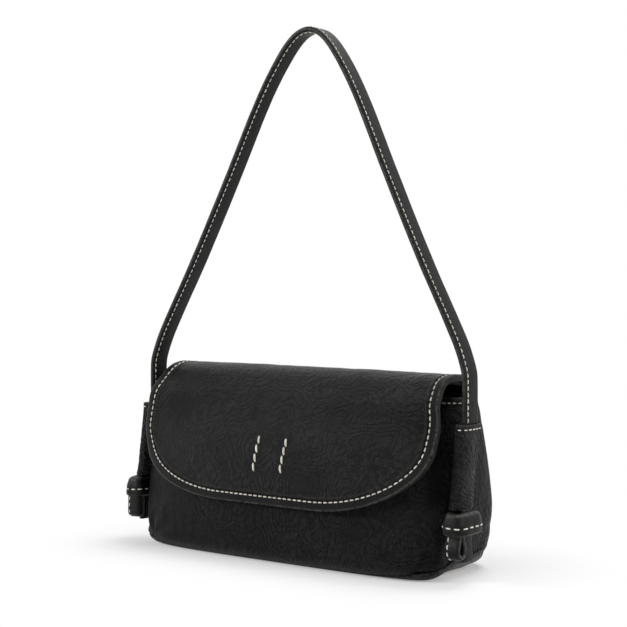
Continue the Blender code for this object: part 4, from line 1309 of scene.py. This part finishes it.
def sleeve_piece(word, side):
    """Leather tunnel on the end, creased on its front side and gathered a little by the belt."""
    rings, wear = [], []
    edge = SLEEVE_WALL / 2
    turns = (0.5, 1.0, math.pi / 2)
    lips = [(edge * (1 - math.sin(turn)), edge * (1 - math.cos(turn))) for turn in turns]
    profile = [(SLEEVE_TOP - drop, inset) for drop, inset in lips[::-1]]
    profile += [(z, 0.0) for z in np.linspace(SLEEVE_TOP - edge, SLEEVE_BOTTOM + edge, 110)]
    profile += [(SLEEVE_BOTTOM + drop, inset) for drop, inset in lips]
    for z, inset in profile:
        flare = 0.0006 * (bell(z, SLEEVE_TOP, 0.004) + bell(z, SLEEVE_BOTTOM, 0.004))
        wide = sleeve_width(z) + 2 * flare - 2 * inset
        ring = sleeve_ring(side, z, wide, SLEEVE_THICK - 2 * inset + flare, SLEEVE_POWER, 1.0)
        rings.append(ring)
        # The lips are rubbed lighter, the top one more; the light line down the rear edge is a painted
        # highlight.
        lip = 0.9 * max(bell(z, SLEEVE_TOP, 0.0007), 0.6 * bell(z, SLEEVE_BOTTOM, 0.0006))
        rear = sleeve_y(z) - sleeve_forward(z) + wide / 2 - 0.0012
        wear.append([lip + 0.45 * bell(point.y, rear, 0.0006) for point in ring])
    hole = (STRAP_WIDTH + 2 * SLEEVE_ROOM, STRAP + 2 * SLEEVE_ROOM)
    for z in np.linspace(SLEEVE_BOTTOM, SLEEVE_TOP, 12):
        rings.append(sleeve_ring(side, z, *hole, 5.0))
        wear.append([0.0] * len(rings[-1]))
    made = tube("sleeve_leather_" + word, rings, GRAIN, loop=True, wear=wear, crease=0.5)
    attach(made, "bag")
    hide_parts("sleeve_" + word)


def sleeve_stitches(word, side):
    z = SLEEVE_TOP - SLEEVE_LINE
    count = 176
    ring = sleeve_ring(side, z, sleeve_width(z), SLEEVE_THICK + 0.0004, SLEEVE_POWER, 1.0, count)
    middle = sum(ring, Vector()) / count
    course = []
    for i in range(int(-0.27 * count), int(0.27 * count) + 1):
        here = ring[i % count]
        along = ring[(i + 1) % count] - ring[(i - 1) % count]
        course.append((here, away_from(middle, here, along)))
    made = stitch_run("sleeve_stitches_" + word, course, STRAP_PITCH, 0.0032, 0.00044)
    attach(made, "bag")


KNOT_POWER = 3.8
BAND_LINE = -0.22


def band_point(side, turn, height, thick_share, extra=0.0):
    """A point of the knot's band: turn goes round it, height from -1 to 1 up it."""
    half_x = KNOT_DEPTH / 2 - STRAP * (1 - thick_share)
    half_y = KNOT_WIDTHS[side] / 2 - 0.0008 - STRAP * (1 - thick_share)
    across = squared_off(math.cos(turn), KNOT_POWER)
    along = squared_off(math.sin(turn), KNOT_POWER)
    z = KNOT_Z + height * KNOT_HEIGHT / 2
    at = Vector((across * 1.4 + side, along * 1.8, height * 0.8))
    puff = 0.0010 * (1 - height**2) * thick_share + 0.0004 * noise.noise(at) + extra
    lean = -0.0009 * height
    z += 0.0003 * math.sin(turn * 2 + 0.6) - 0.0007 * (1 + height) * thick_share
    x = KNOT_X + across * half_x + across * (puff + lean)
    y = KNOT_MIDDLES[side] + along * half_y + along * (puff + lean) * 0.7
    return Vector((side * x, y, z))


def knot_band(word, side):
    """The belt's turn round itself, drawn tight, its edges rolled."""
    rolled = [(0.89, 0.96), (0.965, 0.86), (1.0, 0.66), (1.0, 0.36), (0.985, 0.14), (0.93, 0.03)]
    profile = [(-0.80 + 1.60 * step / 12, 1.0) for step in range(13)] + rolled
    profile += [(0.80 - 1.60 * step / 8, 0.0) for step in range(9)]
    profile += [(-height, share) for height, share in rolled[::-1]]
    press = [-0.00030 * bell(height, BAND_LINE, 0.10) * (share > 0.9) for height, share in profile]
    rings = []
    for turn in np.linspace(0, math.tau, 132, endpoint=False):
        rings.append([band_point(side, turn, *entry, deep) for entry, deep in zip(profile, press)])
    # The rolled edges are lighter, the top one more: wear together with a painted highlight.
    wear = [
        (0.9 if height > 0 else 0.6) * bell(abs(height), 0.95, 0.10) * (share > 0.5)
        for height, share in profile
    ]
    made = tube("knot_band_" + word, rings, BELT, loop=True, wear=wear, crease=0.2)
    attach(made, "bag")
    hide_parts("knot_wrap_" + word)
    course = []
    for turn in np.radians(np.linspace(-178, 58, 300)):
        here = band_point(side, turn, BAND_LINE, 1.0, -0.0002)
        along = band_point(side, turn + 0.01, BAND_LINE, 1.0, -0.0002) - here
        middle = Vector((side * KNOT_X, KNOT_MIDDLES[side], here.z))
        course.append((here, away_from(middle, here, along)))
    line = stitch_run("knot_band_stitches_" + word, course, 0.0058, 0.0040, 0.0005)
    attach(line, "bag")


def loop_line(side):
    """The bight's middle line in (Y, Z), drawn in at its top."""
    span = LOOP_SPANS[side]
    top = KNOT_Z - KNOT_HEIGHT / 2 + 0.0008
    middle = KNOT_MIDDLES[side] - KNOT_WIDTHS[side] / 2 + span / 2 + 0.0008
    radius = (span - STRAP) / 2
    low = KNOT_Z - KNOT_HEIGHT / 2 - FIT - LOOP_DROP + span / 2
    leg = [(-STRAP * 0.5, top), (-STRAP * 0.53, top + (low - top) * 0.3),
           (-radius * 0.95, top + (low - top) * 0.75)]
    turns = np.linspace(math.pi, math.tau, 13)
    turn_round = [(radius * math.cos(turn), low + radius * math.sin(turn)) for turn in turns]
    points = leg + turn_round + [(-y, z) for y, z in leg[::-1]]
    return [Vector((middle + y, z)) for y, z in points]


def knot_bight(word, side):
    """The belt's fold that hangs under the knot."""
    points = loop_line(side)
    stations = run_lengths(points)
    middle = sum(points, Vector((0, 0))) / len(points)
    section = belt_section(LOOP_WIDTH, STRAP)

    def frame_at(run):
        here, along = at_run(stations, points, run, 0.0006)
        return here, Vector((along.y, -along.x)).normalized()

    here, out = frame_at(0.0)
    sign = 1.0 if out.dot(here - middle) > 0 else -1.0
    rings = []
    for i, run in enumerate(np.linspace(0, stations[-1], 73)):
        here, out = frame_at(run)
        ring = []
        for across, along, _ in section:
            wave = 1 + 0.05 * noise.noise(Vector((i / 9, along * 200, side)))
            spot = here + out * (sign * across * wave)
            ring.append(Vector((side * KNOT_X + along, spot.x, spot.y)))
        rings.append(ring)
    # Lighter along both edges: wear together with painted rims of light.
    wear = [0.7 * (bell(share, 1.0, 0.04) + bell(share, 0.0, 0.04)) for *_, share in section]
    made = tube("knot_bight_" + word, rings, BELT, wear=wear)
    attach(made, "bag")
    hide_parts("knot_loop_" + word)
    course = []
    for share in np.linspace(0.02, 0.72, 200):
        here, out = frame_at(stations[-1] * share)
        spot = here + out * (sign * belt_half(BELT_LINE, LOOP_WIDTH, STRAP))
        x = side * KNOT_X - LOOP_WIDTH / 2 + BELT_LINE
        course.append((Vector((x, spot.x, spot.y)), Vector((0, out.x * sign, out.y * sign))))
    line = stitch_run("bight_stitches_" + word, course, 0.0044, 0.0032, 0.00045)
    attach(line, "bag")


def area_light(name, place, aim, size, power):
    data = bpy.data.lights.new(name, "AREA")
    data.shape = "DISK"
    data.size = size
    data.energy = power
    made = bpy.data.objects.new(name, data)
    made.location = place
    towards = Vector((0, 0, aim)) - Vector(place)
    made.rotation_euler = towards.to_track_quat("-Z", "Y").to_euler()
    bpy.context.scene.collection.objects.link(made)


def build_world():
    world = bpy.data.worlds.new("studio")
    bpy.context.scene.world = world
    made = Nodes(world)
    background = made.tree.nodes["Background"].inputs
    made.join(background["Color"], (1, 1, 1, 1))
    made.join(background["Strength"], made.ranged(made.unlit(), 0.0, 1.0, WORLD_LIGHT, 1.0))


def floor_finish():
    """Pale, and plain white further from the bag than its shadow reaches."""
    made = Finish("pale_floor")
    made.set(Base_Color=(FLOOR_GREY, FLOOR_GREY, FLOOR_GREY, 1), Roughness=0.9, Specular_IOR_Level=0.0)
    past = made.vector("SUBTRACT", made.vector("ABSOLUTE", made.coords), FLOOR_CORE)
    past = made.vector("MAXIMUM", past, (0.0, 0.0, 0.0))
    fade = made.ranged(made.vector("LENGTH", past, output="Value"), *FLOOR_FADE)
    glow = made.put("Emission", {"Color": (1, 1, 1, 1), "Strength": 1.0}).outputs[0]
    factor = made.times(fade, made.unlit())
    mixed = made.put("MixShader", {0: factor, 1: made.shader.outputs[0], 2: glow})
    made.join(made.tree.nodes["Material Output"].inputs["Surface"], mixed.outputs[0])
    return made.owner


def build_floor():
    count, radii = 96, (0.3, 0.8, 2.0, 9.0)
    verts, faces = [(0, 0, 0)], []
    for radius in radii:
        for i in range(count):
            turn = math.tau * i / count
            verts.append((radius * math.cos(turn), radius * math.sin(turn), 0))
    for i in range(count):
        j = (i + 1) % count
        faces.append((0, 1 + i, 1 + j))
        for r in range(len(radii) - 1):
            a, b = 1 + r * count, 1 + (r + 1) * count
            faces.append((a + i, b + i, b + j, a + j))
    floor = link("floor", verts, faces, floor_finish())
    floor.location.z = -FLOOR_DROP


def build_camera():
    data = bpy.data.cameras.new("camera")
    data.sensor_width = 36.0
    data.lens = CAMERA_LENS
    data.shift_y = CAMERA_SHIFT
    made = bpy.data.objects.new("camera", data)
    made.location = CAMERA_PLACE
    made.rotation_euler = (math.radians(90), 0, math.radians(CAMERA_TURN))
    bpy.context.scene.collection.objects.link(made)
    bpy.context.scene.camera = made


def finish_kept_nodes():
    """Better materials for the solids that stay: the snap's metal and the stiffener."""
    metal, board = metal_finish(), board_finish()
    kept = {"snap_socket": metal, "snap_stud": metal, "snap_washer": metal, "base_board": board}
    for name, finish in kept.items():
        for entry in bpy.data.objects[name].material_slots:
            entry.material = finish


body_panel("front_leather", "front_panel", True)
body_panel("back_leather", "back_panel", False)
base_piece()
lining_piece()
facing_piece()
pocket_piece()
rim_stitches()
build_flap()
strap_piece()
for word, side in (("left", -1), ("right", 1)):
    sleeve_piece(word, side)
    sleeve_stitches(word, side)
    knot_band(word, side)
    knot_bight(word, side)
finish_kept_nodes()
build_world()
build_floor()
for word, settings in LAMPS.items():
    area_light(word, *settings)
build_camera()
bpy.context.scene.view_settings.view_transform = "Standard"
